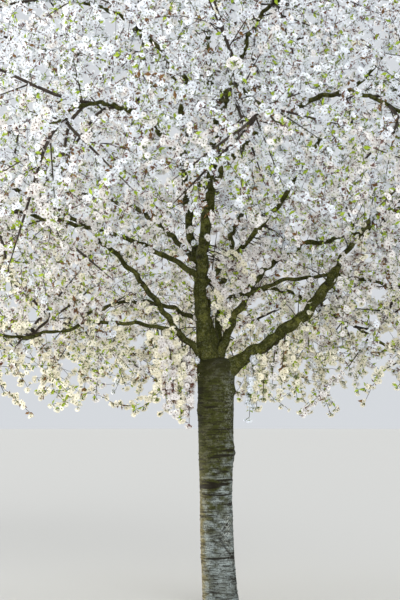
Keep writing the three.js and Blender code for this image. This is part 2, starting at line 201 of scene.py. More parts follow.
def seeded_numbers(seed):
    """The solids' own generator: state times a factor plus a step, kept to 32 bits."""
    state = [seed]

    def draw(low, high):
        state[0] = (state[0] * GENERATOR_FACTOR + GENERATOR_STEP) % GENERATOR_SIZE
        return between((low, high), state[0] / GENERATOR_SIZE)
    return draw


def unit(vectors):
    """Vectors divided by their lengths."""
    return vectors / np.linalg.norm(vectors, axis=-1, keepdims=True)


def segment_at(points, share):
    """Both ends of the segment at a share of a path's count of segments, and the share of it."""
    place = share * (len(points) - 1)
    index = min(int(place), len(points) - 2)
    return points[index:index + 2], place - index


def point_along(points, share):
    """The point at a share of a path's count of segments, straight between its points."""
    return between(*segment_at(points, share))


def direction_along(points, share):
    """The way of the segment at a share of a path's count of segments."""
    (low, high), _ = segment_at(points, share)
    return unit(high - low)


def sideways(directions):
    """A unit vector across each direction: upright, or X where it is steep, crossed with it."""
    steep = np.abs(directions[..., 2:3]) > STEEP
    reference = np.where(steep, np.array([1.0, 0, 0]), np.array([0, 0, 1.0]))
    return unit(np.cross(reference, directions))


def across_at(along, angle):
    """A unit vector across each direction, turned about it by an angle from its sideways one."""
    across = sideways(along)
    return across * np.cos(angle) + np.cross(along, across) * np.sin(angle)


def limb_points(limb, order, start):
    """A limb's path: equal strides whose climb follows a curve through three angles and whose
    heading sways by a sine of the length so far."""
    steps = math.ceil(limb.length / LIMB_SEGMENT)
    share = (np.arange(steps) + 0.5) / steps
    heading = limb.heading + LIMB_SWAY * np.sin(TURN * share * limb.length / SWAY_LENGTH + order)
    early, late = between(limb.climb[:2], share), between(limb.climb[1:], share)
    strides = bearing(heading, between((early, late), share)) * (limb.length / steps)
    return np.vstack([start, start + np.cumsum(strides, axis=0)])


def limb_radius(limb, share):
    """Half the thickness at a share of a limb, and a collar that falls off from its foot."""
    collar = COLLAR * np.exp(-share * limb.length / COLLAR_FALL)
    return between(limb.thick, share) / 2 * (1 + collar)


def bent_curve(start, direction, goal, steps):
    """A quadratic Bezier curve that sets off along a direction and bends to its goal."""
    control = start + direction * np.linalg.norm(goal - start) / 2
    share = np.linspace(0, 1, steps + 1)[:, None]
    return (1 - share) ** 2 * start + 2 * share * (1 - share) * control + share ** 2 * goal


def spray_from(root, direction, length):
    """A spray with its fullest place and its tip, along a direction from its root."""
    return Spray(root, direction, length,
                 root + direction * length * SPRAY_FULLEST, root + direction * length)


def spray_axis(spray):
    """The path through a spray's root, fullest place and tip."""
    return np.array([spray.root, spray.middle, spray.tip])


class Growth:
    """A limb with its path, the middle of its mass and the stem that grows on into it, with the
    spray that leads on from the stem."""

    def __init__(self, name, limb, order, start):
        self.limb, self.order = limb, order
        self.points = limb_points(limb, order, start)
        heading, out, height = limb.mass
        self.middle = bearing(heading, 0) * out + np.array([0, 0, height])
        tip, direction = self.points[-1], direction_along(self.points, 1)
        goal = self.middle + unit(self.middle - tip) * STEM_OVERSHOOT
        neck = tip + direction * limb.thick[1]
        self.stem = np.vstack([
            tip + direction * CLEARANCE, bent_curve(neck, direction, goal, STEM_STEPS)])
        self.lead = spray_from(self.stem[-1], direction_along(self.stem, 1), SPRAY_LENGTH[1])
        self.node = name.removesuffix("_bough") + "_blossom"


def grow_limbs():
    """Every limb by its name, each from its place on the trunk or on its parent."""
    grown = {}
    for order, (name, limb) in enumerate(LIMBS.items()):
        start = (np.array(limb.start, float) if limb.parent == "trunk"
                 else point_along(grown[limb.parent].points, limb.start))
        grown[name] = Growth(name, limb, order, start)
    return grown


GROWN = grow_limbs()
MIDDLES = np.array([grown.middle for grown in GROWN.values()])


def path_segments(points, thickness):
    """Both ends of each segment, and its radius from the thickness at its first point."""
    share = np.arange(len(points) - 1) / (len(points) - 1)
    return points[:-1], points[1:], thickness(share) / 2


def wood_segments(grown=None):
    """Segments of every limb, and of the stems of the masses other than this one."""
    parts = []
    for other in GROWN.values():
        limb = other.limb
        parts.append(path_segments(other.points, lambda s: 2 * limb_radius(limb, s)))
        if other is not grown:
            parts.append(path_segments(
                other.stem, lambda s: between((limb.thick[1], TWIG_THICK[0]), s)))
    return [np.concatenate(part) for part in zip(*parts)]


def gap_to_segments(points, segments):
    """For each point, the least distance to the segments' surfaces."""
    low, high, radius = segments
    along = high - low
    offset = points[:, None] - low
    share = np.clip((offset * along).sum(-1) / (along * along).sum(-1), 0, 1)
    return (np.linalg.norm(offset - share[..., None] * along, axis=-1) - radius).min(-1)


def inside_outline(points, margin, low_margin=None):
    """Inside the crown's egg and above its lower edge, which is raised in front."""
    reach = np.stack([CROWN_REACH - margin, CROWN_REACH - margin, CROWN_RISE - margin], -1)
    outer = np.linalg.norm((points - [0, 0, CROWN_MIDDLE]) / reach, axis=-1)
    flat = np.sqrt(points[..., 0] ** 2 + points[..., 1] ** 2 + 1)
    low = LOW_EDGE + FRONT_RAISE * np.maximum(-points[..., 1] / flat, 0)
    return (outer < 1) & (points[..., 2] > low + (margin if low_margin is None else low_margin))


def inside_hollow(points, back=1):
    """Inside the hollow round the fork. Behind the trunk it may be a share of its size."""
    reach = np.array([HOLLOW_REACH, HOLLOW_REACH, HOLLOW_RISE])
    limit = np.where(points[..., 1] > 0, back, 1)
    return np.linalg.norm((points - [0, 0, HOLLOW_MIDDLE]) / reach, axis=-1) < limit


def inside_space(points, middle, margin, side_margin=None):
    """Inside the outline, and nearer to this mass's middle than to any other by a margin."""
    side_margin = margin if side_margin is None else side_margin
    own = ((points - middle) ** 2).sum(-1)
    gaps = ((points[..., None, :] - MIDDLES) ** 2).sum(-1) - own[..., None]
    apart = np.linalg.norm(MIDDLES - middle, axis=-1)
    nearer = (gaps > 2 * side_margin * apart) | (apart == 0)
    return inside_outline(points, margin) & nearer.all(-1)


def nearest(places, others):
    """Each place's distance to the nearest of some others."""
    return np.linalg.norm(places[:, None] - others[None], axis=-1).min(1)


def clouds(places, lengths, seed):
    """Thick and thin parts: sines of the place along random ways, eased to run from 0 to 1."""
    numbers = np.random.default_rng(seed)
    total = np.zeros(len(places))
    for length in lengths:
        way = unit(numbers.normal(0, 1, 3))
        phase = numbers.uniform(0, TURN)
        total += np.sin(TURN * (places @ way) / length + phase)
    return smooth_step(-CLOUD_EASE, CLOUD_EASE, total / math.sqrt(len(lengths)))


class Mass:
    """One mass of blossom, grown by the solids' rule: a stem, twigs and sprays."""

    def __init__(self, grown):
        self.grown, self.stem = grown, grown.stem
        self.segments = wood_segments(grown)
        random = seeded_numbers(grown.order + 1)
        self.sprays, self.twigs, self.sides = [grown.lead], [], []
        self.grow_twigs(random)
        carriers = [twig for twig, _ in self.twigs] + [self.stem]
        for carrier in carriers:
            others = [other for other in carriers if other is not carrier]
            for share in SIDE_SPRAYS:
                spray = self.side_spray(carrier, others, share, random)
                if spray:
                    self.sides.append(spray)
                    self.sprays.append(spray)

    def within(self, points, margin):
        """Whether points keep to the mass's own space."""
        return inside_space(points, self.grown.middle, margin)

    def clear_of_wood(self, point, radius):
        """Whether a point's own radius and a margin fit between it and the wood."""
        return gap_to_segments(point[None], self.segments)[0] >= radius + SPACE_MARGIN

    def spray_fits(self, spray):
        """Its fullest part and its tip keep to the mass's space and touch nothing."""
        half = spray.length * SPRAY_WIDTH / 2
        return (self.within(spray.middle, half) and self.within(spray.tip, SPACE_MARGIN)
                and not inside_hollow(spray.middle)
                and self.clear_of_wood(spray.middle, half)
                and self.clear_of_wood(spray.tip, 0)
                and all(np.linalg.norm(other.middle - spray.middle) > 2 * half
                        for other in self.sprays))

    def clear_of_sprays(self, points, sprays):
        """A twig keeps the widest spray's width from the sprays' fullest places."""
        segments = path_segments(
            points, lambda share: np.full(len(share), SPRAY_WIDTH * SPRAY_LENGTH[0]))
        return all(gap_to_segments(spray.middle[None], segments)[0] >= 0 for spray in sprays)

    def twig_goal(self, taken, random):
        """Of several draws, the open place that is furthest from those taken."""
        best, best_distance = None, 0
        margin = SPRAY_LENGTH[1] * SPRAY_WIDTH
        for _ in range(TWIG_DRAWS):
            draws = [random(-TWIG_SPREAD, TWIG_SPREAD) for _ in range(3)]
            goal = self.grown.middle + np.array(draws)
            distance = min(np.linalg.norm(other - goal) for other in taken)
            if distance > best_distance and self.within(goal, margin):
                best, best_distance = goal, distance
        return best

    def twig_points(self, goal):
        """A curve to the goal from the place on the stem that has the shortest way to it."""
        lengths = [np.linalg.norm(point_along(self.stem, share) - goal) + TWIG_LEAD * share
                   for share in TWIG_STARTS]
        share = TWIG_STARTS[int(np.argmin(lengths))]
        start = point_along(self.stem, share)
        return bent_curve(start, direction_along(self.stem, share), goal, TWIG_STEPS)

    def twig_fits(self, twig):
        """It keeps clear of the sprays so far, to the mass's space and clear of the wood."""
        places = [point_along(twig, share) for share in TWIG_TESTS]
        return self.clear_of_sprays(twig, self.sprays) and all(
            self.within(place, SPACE_MARGIN) and self.clear_of_wood(place, TWIG_THICK[0])
            for place in places)

    def grow_twigs(self, random):
        """Tries goals in turn, and keeps the twigs that fit until there are enough."""
        taken = [self.stem[-1]]
        for _ in range(TWIG_TRIES):
            if len(self.twigs) == TWIG_COUNT:
                return
            goal = self.twig_goal(taken, random)
            length = random(*SPRAY_LENGTH)
            if goal is not None:
                points = self.twig_points(goal)
                spray = spray_from(goal, direction_along(points, 1), length)
                if self.twig_fits(points) and self.spray_fits(spray):
                    taken.append(goal)
                    self.sprays.append(spray)
                    self.twigs.append((points, spray))

    def side_spray(self, carrier, others, share, random):
        """A spray that leans away from its twig: the first drawn that fits is taken."""
        along = direction_along(carrier, share)
        for _ in range(SPRAY_DRAWS):
            side = across_at(along, random(0, TURN))
            lean = math.radians(random(*SPRAY_LEAN))
            direction = along * math.cos(lean) + side * math.sin(lean)
            spray = spray_from(point_along(carrier, share), direction, random(*SPRAY_LENGTH))
            if (all(self.clear_of_sprays(other, [spray]) for other in others)
                    and self.spray_fits(spray)):
                return spray
        return None


def resampled(points, count):
    """A smooth curve of count points through a path: cubic pieces whose slope at each point is
    half the step between its neighbours."""
    place = np.linspace(0, len(points) - 1, count)
    index = np.minimum(place.astype(int), len(points) - 2)
    share = (place - index)[:, None]
    slopes = np.gradient(points, axis=0)
    return ((2 * share ** 3 - 3 * share ** 2 + 1) * points[index]
            + (share ** 3 - 2 * share ** 2 + share) * slopes[index]
            + (3 * share ** 2 - 2 * share ** 3) * points[index + 1]
            + (share ** 3 - share ** 2) * slopes[index + 1])


def fine_twigs(mass, numbers):
    """Paths and thicknesses of a mass's finer twigs. Places are drawn evenly in its space. Each
    twig takes the one furthest from the wood so far, and leaves the wood where the way there
    is short and runs forwards."""
    grown = mass.grown
    places = grown.middle + numbers.uniform(-FINE_SPREAD, FINE_SPREAD, (FINE_DRAWS, 3))
    keep = inside_space(places, grown.middle, FINE_MARGIN, FINE_SIDE_MARGIN)
    keep &= ~inside_hollow(places, BACK_HOLLOW)
    ragged = clouds(places, RAGGED_LENGTHS, FINE_SEED)
    keep &= inside_outline(places, FINE_MARGIN + RAGGED_SIDE * ragged,
                           FINE_MARGIN + RAGGED_LOW * ragged)
    places = places[keep][:FINE_PLACES]
    paths = [(mass.stem[1:], (grown.limb.thick[1], TWIG_THICK[0]))]
    paths += [(twig, TWIG_THICK) for twig, _ in mass.twigs]
    paths += [(spray_axis(spray), AXIS_THICK) for spray in mass.sprays]
    curves = [resampled(points, WOOD_SAMPLES + 2)[1:] for points, _ in paths]
    wood = np.concatenate([curve[:-1] for curve in curves])
    ways = np.concatenate([unit(np.gradient(curve, axis=0))[:-1] for curve in curves])
    shares = np.linspace(WOOD_FIRST, 1, WOOD_SAMPLES)
    thick = np.concatenate([between(ends, shares) for _, ends in paths])
    gap = nearest(places, wood)
    share = np.linspace(0, 1, FINE_RINGS)
    twigs = []
    for _ in range(FINE_TWIGS):
        goal = places[int(np.argmax(gap))]
        span = goal - wood
        distance = np.linalg.norm(span, axis=-1)
        forward = (span * ways).sum(-1) / np.maximum(distance, 1)
        first = int(np.argmin(distance * (1 - FINE_FORWARD * forward)))
        far = distance[first]
        way = unit(span[first] / far + FINE_PARENT_PULL * ways[first])
        points = bent_curve(wood[first], way, goal, FINE_RINGS - 1)
        points[:, 2] -= FINE_DROOP * far * share * (share - FINE_LEVEL)
        points[1:-1] += numbers.normal(0, FINE_KINK, (FINE_RINGS - 2, 3))
        ends = (min(FINE_THICK[0], FINE_TAKES * thick[first]), FINE_THICK[1])
        twigs.append((points, ends))
        joints = np.array([point_along(points, place) for place in FINE_JOINTS])
        turns = np.array([direction_along(points, place) for place in FINE_JOINTS])
        wood, ways = np.concatenate([wood, joints]), np.concatenate([ways, turns])
        thick = np.concatenate([thick, between(ends, np.array(FINE_JOINTS))])
        gap = np.minimum(gap, nearest(places, joints))
    return twigs


# Meshes: all shapes are worked out in millimetres as whole arrays, and put down in metres
BODY = "root"
MASS_NODES = tuple(grown.node for grown in GROWN.values())
TRUNK_SEED = 7
LIMB_SEED = 50
FINE_SEED = 400
SPUR_SEED = 700
FLOWER_SEED = 900
TINT_SEEDS = 10
LEAF_SEED = 970


def repeated_faces(count, corners, pattern):
    """The faces of one small shape for each of count repeats, moved on by its corners."""
    return (np.arange(count)[:, None, None] * corners + np.array(pattern)).reshape(-1, 3)


def new_piece(name, vertices, faces, material, attributes=None, smooth=False):
    """A mesh object at the origin from corners in millimetres and triangles."""
    mesh = bpy.data.meshes.new(name)
    faces = np.ascontiguousarray(faces, np.int32)
    mesh.vertices.add(len(vertices))
    mesh.vertices.foreach_set("co", (vertices * MILLIMETRE).astype(np.float32).ravel())
    mesh.loops.add(faces.size)
    mesh.loops.foreach_set("vertex_index", faces.ravel())
    mesh.polygons.add(len(faces))
    mesh.polygons.foreach_set("loop_start", np.arange(0, faces.size, 3, dtype=np.int32))
    mesh.update(calc_edges=True)
    mesh.polygons.foreach_set("use_smooth", np.full(len(faces), smooth))
    for key, values in (attributes or {}).items():
        kind, field = ("FLOAT_VECTOR", "vector") if values.ndim == 2 else ("FLOAT", "value")
        layer = mesh.attributes.new(key, kind, "POINT")
        layer.data.foreach_set(field, values.astype(np.float32).ravel())
    mesh.materials.append(material)
    piece = bpy.data.objects.new(name, mesh)
    bpy.context.scene.collection.objects.link(piece)
    return piece


def tube_faces(count, rings, sides):
    """Two faces for each patch between rings, and a fan from a pole at each end."""
    ring, side = np.meshgrid(np.arange(rings - 1), np.arange(sides), indexing="ij")
    a, b = ring * sides + side, ring * sides + (side + 1) % sides
    walls = np.stack([a, b, b + sides, a, b + sides, a + sides], -1).reshape(-1, 3)
    side = np.arange(sides)
    after, top = (side + 1) % sides, (rings - 1) * sides
    low, high = np.full(sides, rings * sides), np.full(sides, rings * sides + 1)
    fans = np.concatenate([
        np.stack([low, after, side], -1), np.stack([high, top + side, top + after], -1)])
    return repeated_faces(count, rings * sides + 2, np.concatenate([walls, fans]))


def turns_round(count):
    """Angles at even steps round a circle."""
    return TURN * np.arange(count) / count


def tube_rings(paths, radii, sides):
    """Tubes along paths of one count of points. Each ring is its point plus the radius times
    the cosine and the sine of the turn, on two directions across the path that turn as little
    as they can from ring to ring."""
    along = unit(np.gradient(paths, axis=1))
    across = np.empty_like(paths)
    across[:, 0] = sideways(along[:, 0])
    for ring in range(1, paths.shape[1]):
        before, ahead = across[:, ring - 1], along[:, ring]
        across[:, ring] = unit(before - (before * ahead).sum(-1, keepdims=True) * ahead)
    other = np.cross(along, across)
    turn = turns_round(sides)[:, None]
    radii = radii.reshape(*paths.shape[:2], -1)[..., None]
    walls = paths[:, :, None] + radii * (
        np.cos(turn) * across[:, :, None] + np.sin(turn) * other[:, :, None])
    return np.concatenate([
        walls.reshape(len(paths), -1, 3), paths[:, :1], paths[:, -1:]], axis=1).reshape(-1, 3)


def joined(parts):
    """Several lists of corners and faces as one, each face moved on past the corners before."""
    starts = np.cumsum([0] + [len(corners) for corners, _ in parts[:-1]])
    faces = [faces + start for start, (_, faces) in zip(starts, parts)]
    return np.concatenate([corners for corners, _ in parts]), np.concatenate(faces)


# Bark relief
LUMP_WAVES = 26
LUMP_RIBS = 9
LUMP_RIB_FALL = 4
LUMP_LENGTHS = (28, 260)
HEAD_LUMPS = 3
LENTICEL_THICK = (3.2, 7.5)
LENTICEL_HALF_WIDTH = (0.1, 0.7)
LENTICEL_WAVE = 4
LENTICEL_WAVES = 3
TRUNK_LENTICELS = 190
TRUNK_TURNS = 120
TRUNK_ROWS = 330
TRUNK_ROW_POWER = 1.06
KNOT_RIPPLE = 9
KNOT_RIPPLE_DEPTH = 0.22
SCAR = ((-38, 653), (-60, 600), (-86, 545), (-69, 466), (-40, 400), (-24, 330), (-13, 180),
        (-6, 40))
SCAR_WIDTH = 12
SCAR_WANDER = 7
SCAR_DEPTH = 7
SCAR_LIP = 4
LINE_SHOWS = 0.62
LINE_BREAKS = 0.38
SCAR_BREAKS = (0, 31, 2)
BAND_BREAKS = (5, 19, 3)
SPECK_PLACES = ((-42, 1560, 0.34, 190, 0.38), (-46, 560, 0.42, 130, 0.9))
LIMB_TURNS = 13
LIMB_RING_GAP = 22
PATH_FINENESS = 20
LIMB_LIP = 0.03
LIMB_LUMP = 0.085
LIMB_WANDER = 9
LIMB_WANDERS = 4
LIMB_WANDER_LENGTHS = (150, 420)
LIMB_LENTICEL_GAP = 34
LIMB_LUMP_LENGTHS = (45, 170)
LIMB_NODE_GAP = 170
LIMB_NODE_SWELL = 0.12
LIMB_NODE_POWER = 12
LIMB_MOSS = 0.5
LIMB_MOSS_ROUGH = 0.35
LIMB_SPECKS = 0.12
LIMB_LINES = 0.45
LIMB_LINE_LOSS = 0.3
BASE_SWELL = {True: (0.55, 120), False: (0.35, 70)}
MOSS_HEIGHTS = (380, 1700)
MOSS_HEADING = 205
MOSS_WEAR = 0.24
# Painted sunlight: heading, sharpness and most of a strip on the trunk's left edge, where the low light
# falls, which is given the film and, low down, the lighter dry film
SUNLIT_EDGE_STRIP = (194, 4, 0.85)
MOSS_ROUGH = 160
MOSS_RISE = 420
MOSS_HIDES = 0.45
# Painted sunlight: the strip's lighter dry film is full below 500 mm and gone above 1250 mm
SUNLIT_EDGE_HEIGHTS = (1250, 500)
SHOULDER_HEIGHTS = (1560, 1880)
SHOULDER_HALF_WIDTH = 0.36
SHOULDER_MEAN = 0.5
SHOULDER_OUT = 16
# Painted shade: how strongly the folds between the shoulders are darkened
FOLD_SHADE = 1.1
LINE_HEIGHTS = (1500, 1860)
LINE_FADE = 0.55
STUB_REACH = 70
STUB_THICK = 42


def bell(away, width, power=2):
    """A bell of a distance: it falls off as its share of the width, raised to a power."""
    return np.exp(-(away / width) ** power)


def turn_from(turn, heading):
    """How far a turn is from a heading, both in radians, the shorter way round."""
    return (turn - heading + np.pi) % TURN - np.pi


def side_share(turn, heading):
    """1 on the side of a heading in degrees, falling off to 0 opposite it."""
    return (1 + np.cos(turn - math.radians(heading))) / 2


def broken(turn, height, rough, waves, length, shift):
    """How much shows of a line that comes and goes: a sine of the turn, the height and the
    lumps."""
    return LINE_SHOWS + LINE_BREAKS * np.sin(waves * turn + height / length + shift * rough)


def lumps(turn, along, numbers, lengths=LUMP_LENGTHS):
    """Low lumps: a sum of cosines of whole turns round and of lengths along, falling off with
    the count of turns, kept to about one."""
    total = np.zeros(np.broadcast(turn, along).shape)
    for _ in range(LUMP_WAVES):
        ribs = numbers.integers(0, LUMP_RIBS)
        length = numbers.uniform(*lengths) * numbers.choice([-1, 1])
        phase = numbers.uniform(0, TURN)
        total += np.cos(ribs * turn + TURN * along / length + phase) / (1 + ribs / LUMP_RIB_FALL)
    return total / math.sqrt(LUMP_WAVES)


def lenticels(turn, along, count, length, numbers):
    """Raised bands across the bark: for each, a bell of the height from its wavy middle line,
    times a flat-topped bell of the turn from its heading."""
    total = np.zeros(np.broadcast(turn, along).shape)
    for _ in range(count):
        middle, heading = numbers.uniform(0, length), numbers.uniform(0, TURN)
        thick = numbers.uniform(*LENTICEL_THICK)
        half = numbers.uniform(*LENTICEL_HALF_WIDTH)
        wave = LENTICEL_WAVE * np.sin(LENTICEL_WAVES * turn + heading)
        band = bell(along - middle - wave, thick) * bell(turn_from(turn, heading), half, 4)
        total = np.maximum(total, band)
    return total


def scar_gap(turn, height, radius):
    """Distance over the bark from the scar's line, with the turn laid out as an arc of the
    trunk's radius, which the fork's height holds as many times as the slenderness says."""
    gap = np.full(turn.shape, np.inf)
    for (heading, low), (after, high) in zip(SCAR, SCAR[1:]):
        start, end = math.radians(heading), math.radians(after)
        offset = np.stack([turn_from(turn, start) * radius, height - low])
        line = np.array([(end - start) * FORK_HEIGHT / SLENDERNESS, high - low])[:, None, None]
        share = np.clip((offset * line).sum(0) / (line * line).sum(), 0, 1)
        gap = np.minimum(gap, np.hypot(*(offset - share * line)))
    return gap


def trunk_radius(turn, height):
    """As in the solids: the diameter for the height, two twisting waves, knots as bells, the
    flare as a ribbed fall from the ground, and the round head above the fork. The knots are
    rippled here."""
    base = np.interp(height / FORK_HEIGHT, TRUNK_SHARES, TRUNK_DIAMETERS) / 2
    waves = 1 + sum(
        depth * np.cos(ribs * turn + twist * height) for ribs, depth, twist in TRUNK_WAVES)
    reach = FLARE_OUT * between((FLARE_LEAST, 1), side_share(turn, FLARE_HEADING))
    flare = reach * np.exp(-height / FLARE_FALL) * (
        1 + FLARE_RIB_DEPTH * np.cos(FLARE_RIBS * turn))
    knots = 0
    for heading, middle, out, spread in KNOTS:
        around = np.cos(turn - math.radians(heading)) - 1
        squared = -2 * around * base ** 2 + (height - middle) ** 2
        ripple = 1 + KNOT_RIPPLE_DEPTH * np.cos(np.sqrt(squared) / KNOT_RIPPLE)
        knots = knots + out * np.exp(-squared / spread ** 2) * ripple
    above = np.clip((height - FORK_HEIGHT) / (HEAD_HEIGHT - FORK_HEIGHT), 0, 1)
    head = np.maximum(np.sqrt(1 - above ** 2), HEAD_TOP)
    return (base * waves + flare + knots) * head


def shoulders(turn, height):
    """Shoulders under the limbs that the trunk bears, with folds between them: the nearest
    limb's bell of the turn, less its mean, rising towards the fork."""
    out = np.zeros(turn.shape)
    for grown in GROWN.values():
        if grown.limb.parent == "trunk":
            way = grown.points[2] - grown.points[0]
            away = turn_from(turn, math.atan2(way[1], way[0]))
            out = np.maximum(out, bell(away, SHOULDER_HALF_WIDTH))
    return (out - SHOULDER_MEAN) * smooth_step(*SHOULDER_HEIGHTS, height)


def trunk_mesh(lip, lump):
    """A grid of turn and height: the trunk's radius with lumps, bands and the scar's groove and
    lips. It also gives how dark each place is: its bands, the scar's groove, which is its own
    dark wood with painted shade in the crease, and painted shade in the folds between the
    shoulders; how mossy, speckled and lined it is; and a strip of painted sunlight on its left
    edge, which raises the film there and, near the ground, turns it to the lighter dry film."""
    numbers = np.random.default_rng(TRUNK_SEED)
    rows = np.linspace(0, 1, TRUNK_ROWS)
    height = HEAD_HEIGHT * (1 - (1 - rows) ** TRUNK_ROW_POWER)[:, None]
    turn, height = np.broadcast_arrays(turns_round(TRUNK_TURNS)[None], height)
    fade = 1 - smooth_step(FORK_HEIGHT, HEAD_HEIGHT, height)
    bands = lenticels(turn, height, TRUNK_LENTICELS, FORK_HEIGHT, numbers) * fade
    rough = lumps(turn, height, numbers)
    gap = scar_gap(turn, height, TRUNK_DIAMETERS[1] / 2) + SCAR_WANDER * rough
    groove = bell(gap, SCAR_WIDTH) * broken(turn, height, rough, *SCAR_BREAKS)
    lips = bell(gap - 2 * SCAR_WIDTH, SCAR_WIDTH)
    folds = shoulders(turn, height)
    radius = trunk_radius(turn, height) + lump * rough * between((HEAD_LUMPS, 1), fade) + fade * (
        lip * bands + SCAR_LIP * lips - SCAR_DEPTH * groove) + SHOULDER_OUT * folds
    bow = -TRUNK_BOW * np.sin(np.pi / 2 * np.clip(height / TRUNK_BOW_HEIGHT, 0, 1))
    walls = np.stack([bow + radius * np.cos(turn), radius * np.sin(turn), height], -1)
    poles = [[0, 0, 0], [bow[-1, 0], 0, HEAD_HEIGHT]]
    left = side_share(turn, MOSS_HEADING)
    # Painted sunlight: a strip on the left edge, where the low light falls, gets the film, and near the
    # ground the lighter dry film
    heading, power, most = SUNLIT_EDGE_STRIP
    sunlit_edge = np.maximum(np.cos(turn - math.radians(heading)), 0) ** power * most
    moss = np.maximum(sunlit_edge, (1 - MOSS_WEAR * (1 - left)) * smooth_step(
        *MOSS_HEIGHTS, height + MOSS_ROUGH * rough + MOSS_RISE * left))
    bands = bands * broken(turn, height, rough, *BAND_BREAKS) * (1 - MOSS_HIDES * moss)
    # The dark layer: lenticel bands, the scar's groove as its own dark wood with painted shade in the
    # crease, and painted shade in the folds
    layers = {
        "dark": np.maximum.reduce([bands, groove, np.clip(-FOLD_SHADE * folds, 0, 1)]),
        "moss": moss,
        "speck": sum(
            most * bell(turn_from(turn, math.radians(heading)), half) * bell(height - middle, tall)
            for heading, middle, half, tall, most in SPECK_PLACES),
        "lines": 1 - LINE_FADE * smooth_step(*LINE_HEIGHTS, height),
        # painted sunlight along the left edge, strongest near the ground
        "dry_and_sunlit": sunlit_edge * smooth_step(*SUNLIT_EDGE_HEIGHTS, height)}
    return (np.concatenate([walls.reshape(-1, 3), poles]),
            tube_faces(1, TRUNK_ROWS, TRUNK_TURNS),
            {key: np.append(layer.ravel(), [0, 1]) for key, layer in layers.items()})


def limb_path(grown):
    """The whole limb as one smooth path at even steps, its bough, the stem of its mass and the
    lead spray, and its thickness, which is held down past a stub beyond the bough."""
    points = np.vstack([grown.points, grown.stem[2:], grown.lead.middle, grown.lead.tip])
    length = np.linalg.norm(np.diff(points, axis=0), axis=1)
    shares = np.append(0, np.cumsum(length)) / length.sum()
    steps = len(grown.points) - 1
    bough = 2 * limb_radius(grown.limb, np.arange(steps + 1) / steps)
    stem = np.linspace(grown.limb.thick[1], TWIG_THICK[0], len(grown.stem))[2:]
    count = int(length.sum() / LIMB_RING_GAP)
    even = np.linspace(0, 1, count)
    thick = np.interp(even, shares, np.concatenate([bough, stem, AXIS_THICK]))
    fine = resampled(points, PATH_FINENESS * len(points))
    place = np.interp(even, shares, np.arange(len(points))) / (len(points) - 1) * (len(fine) - 1)
    path = np.stack([np.interp(place, np.arange(len(fine)), axis) for axis in fine.T], -1)
    beyond = np.linspace(0, length.sum(), count) - length[:steps].sum()
    return path, thick + smooth_step(0, STUB_REACH, beyond) * np.minimum(STUB_THICK - thick, 0)


def wandering(path, along, numbers):
    """Slight crooks: sines of the length so far along each axis, none at the path's start."""
    crook = np.zeros_like(path)
    for length in np.linspace(*LIMB_WANDER_LENGTHS, LIMB_WANDERS):
        phase = numbers.uniform(0, TURN, 3)
        crook += np.sin(TURN * along[:, None] / length + phase) * LIMB_WANDER / 2
    return path + crook * smooth_step(0, 2 * LIMB_WANDER_LENGTHS[0], along)[:, None]


def limb_mesh(grown, lip, lump):
    """A tube along the limb whose radius has lumps, bands and slight swellings in step with
    its side growth, and a fuller foot where it leaves its parent. It also gives each place as
    if the limb stood straight, and how far it is a band, mossy, speckled and lined."""
    numbers = np.random.default_rng(LIMB_SEED + grown.order)
    path, thick = limb_path(grown)
    along = np.append(0, np.cumsum(np.linalg.norm(np.diff(path, axis=0), axis=1)))
    path = wandering(path, along, numbers)
    turn, length = np.broadcast_arrays(turns_round(LIMB_TURNS)[None], along[:, None])
    rough = lumps(turn, length, numbers, LIMB_LUMP_LENGTHS)
    bands = lenticels(turn, length, int(along[-1] / LIMB_LENTICEL_GAP), along[-1], numbers)
    nodes = np.cos(np.pi * length / LIMB_NODE_GAP + grown.order) ** LIMB_NODE_POWER
    swell, fall = BASE_SWELL[grown.limb.parent == "trunk"]
    foot = swell * np.exp(-length / fall)
    radius = thick[:, None] / 2 * (
        1 + lump * rough + lip * bands + LIMB_NODE_SWELL * nodes + foot)
    laid = np.stack([radius * np.cos(turn), radius * np.sin(turn), length], -1)
    moss = np.clip(LIMB_MOSS + LIMB_MOSS_ROUGH * rough + foot, 0, 1)
    dark, moss = (np.append(layer.ravel(), [0, 0]) for layer in (bands, moss))
    layers = {
        "laid": np.concatenate([laid.reshape(-1, 3), laid[0, :1], laid[-1, :1]]) * MILLIMETRE,
        "dark": dark, "moss": moss, "speck": LIMB_SPECKS * moss,
        "lines": LIMB_LINES - LIMB_LINE_LOSS * moss, "dry_and_sunlit": 0 * moss}
    corners = tube_rings(path[None], radius[None], LIMB_TURNS)
    return corners, tube_faces(1, len(path), LIMB_TURNS), layers


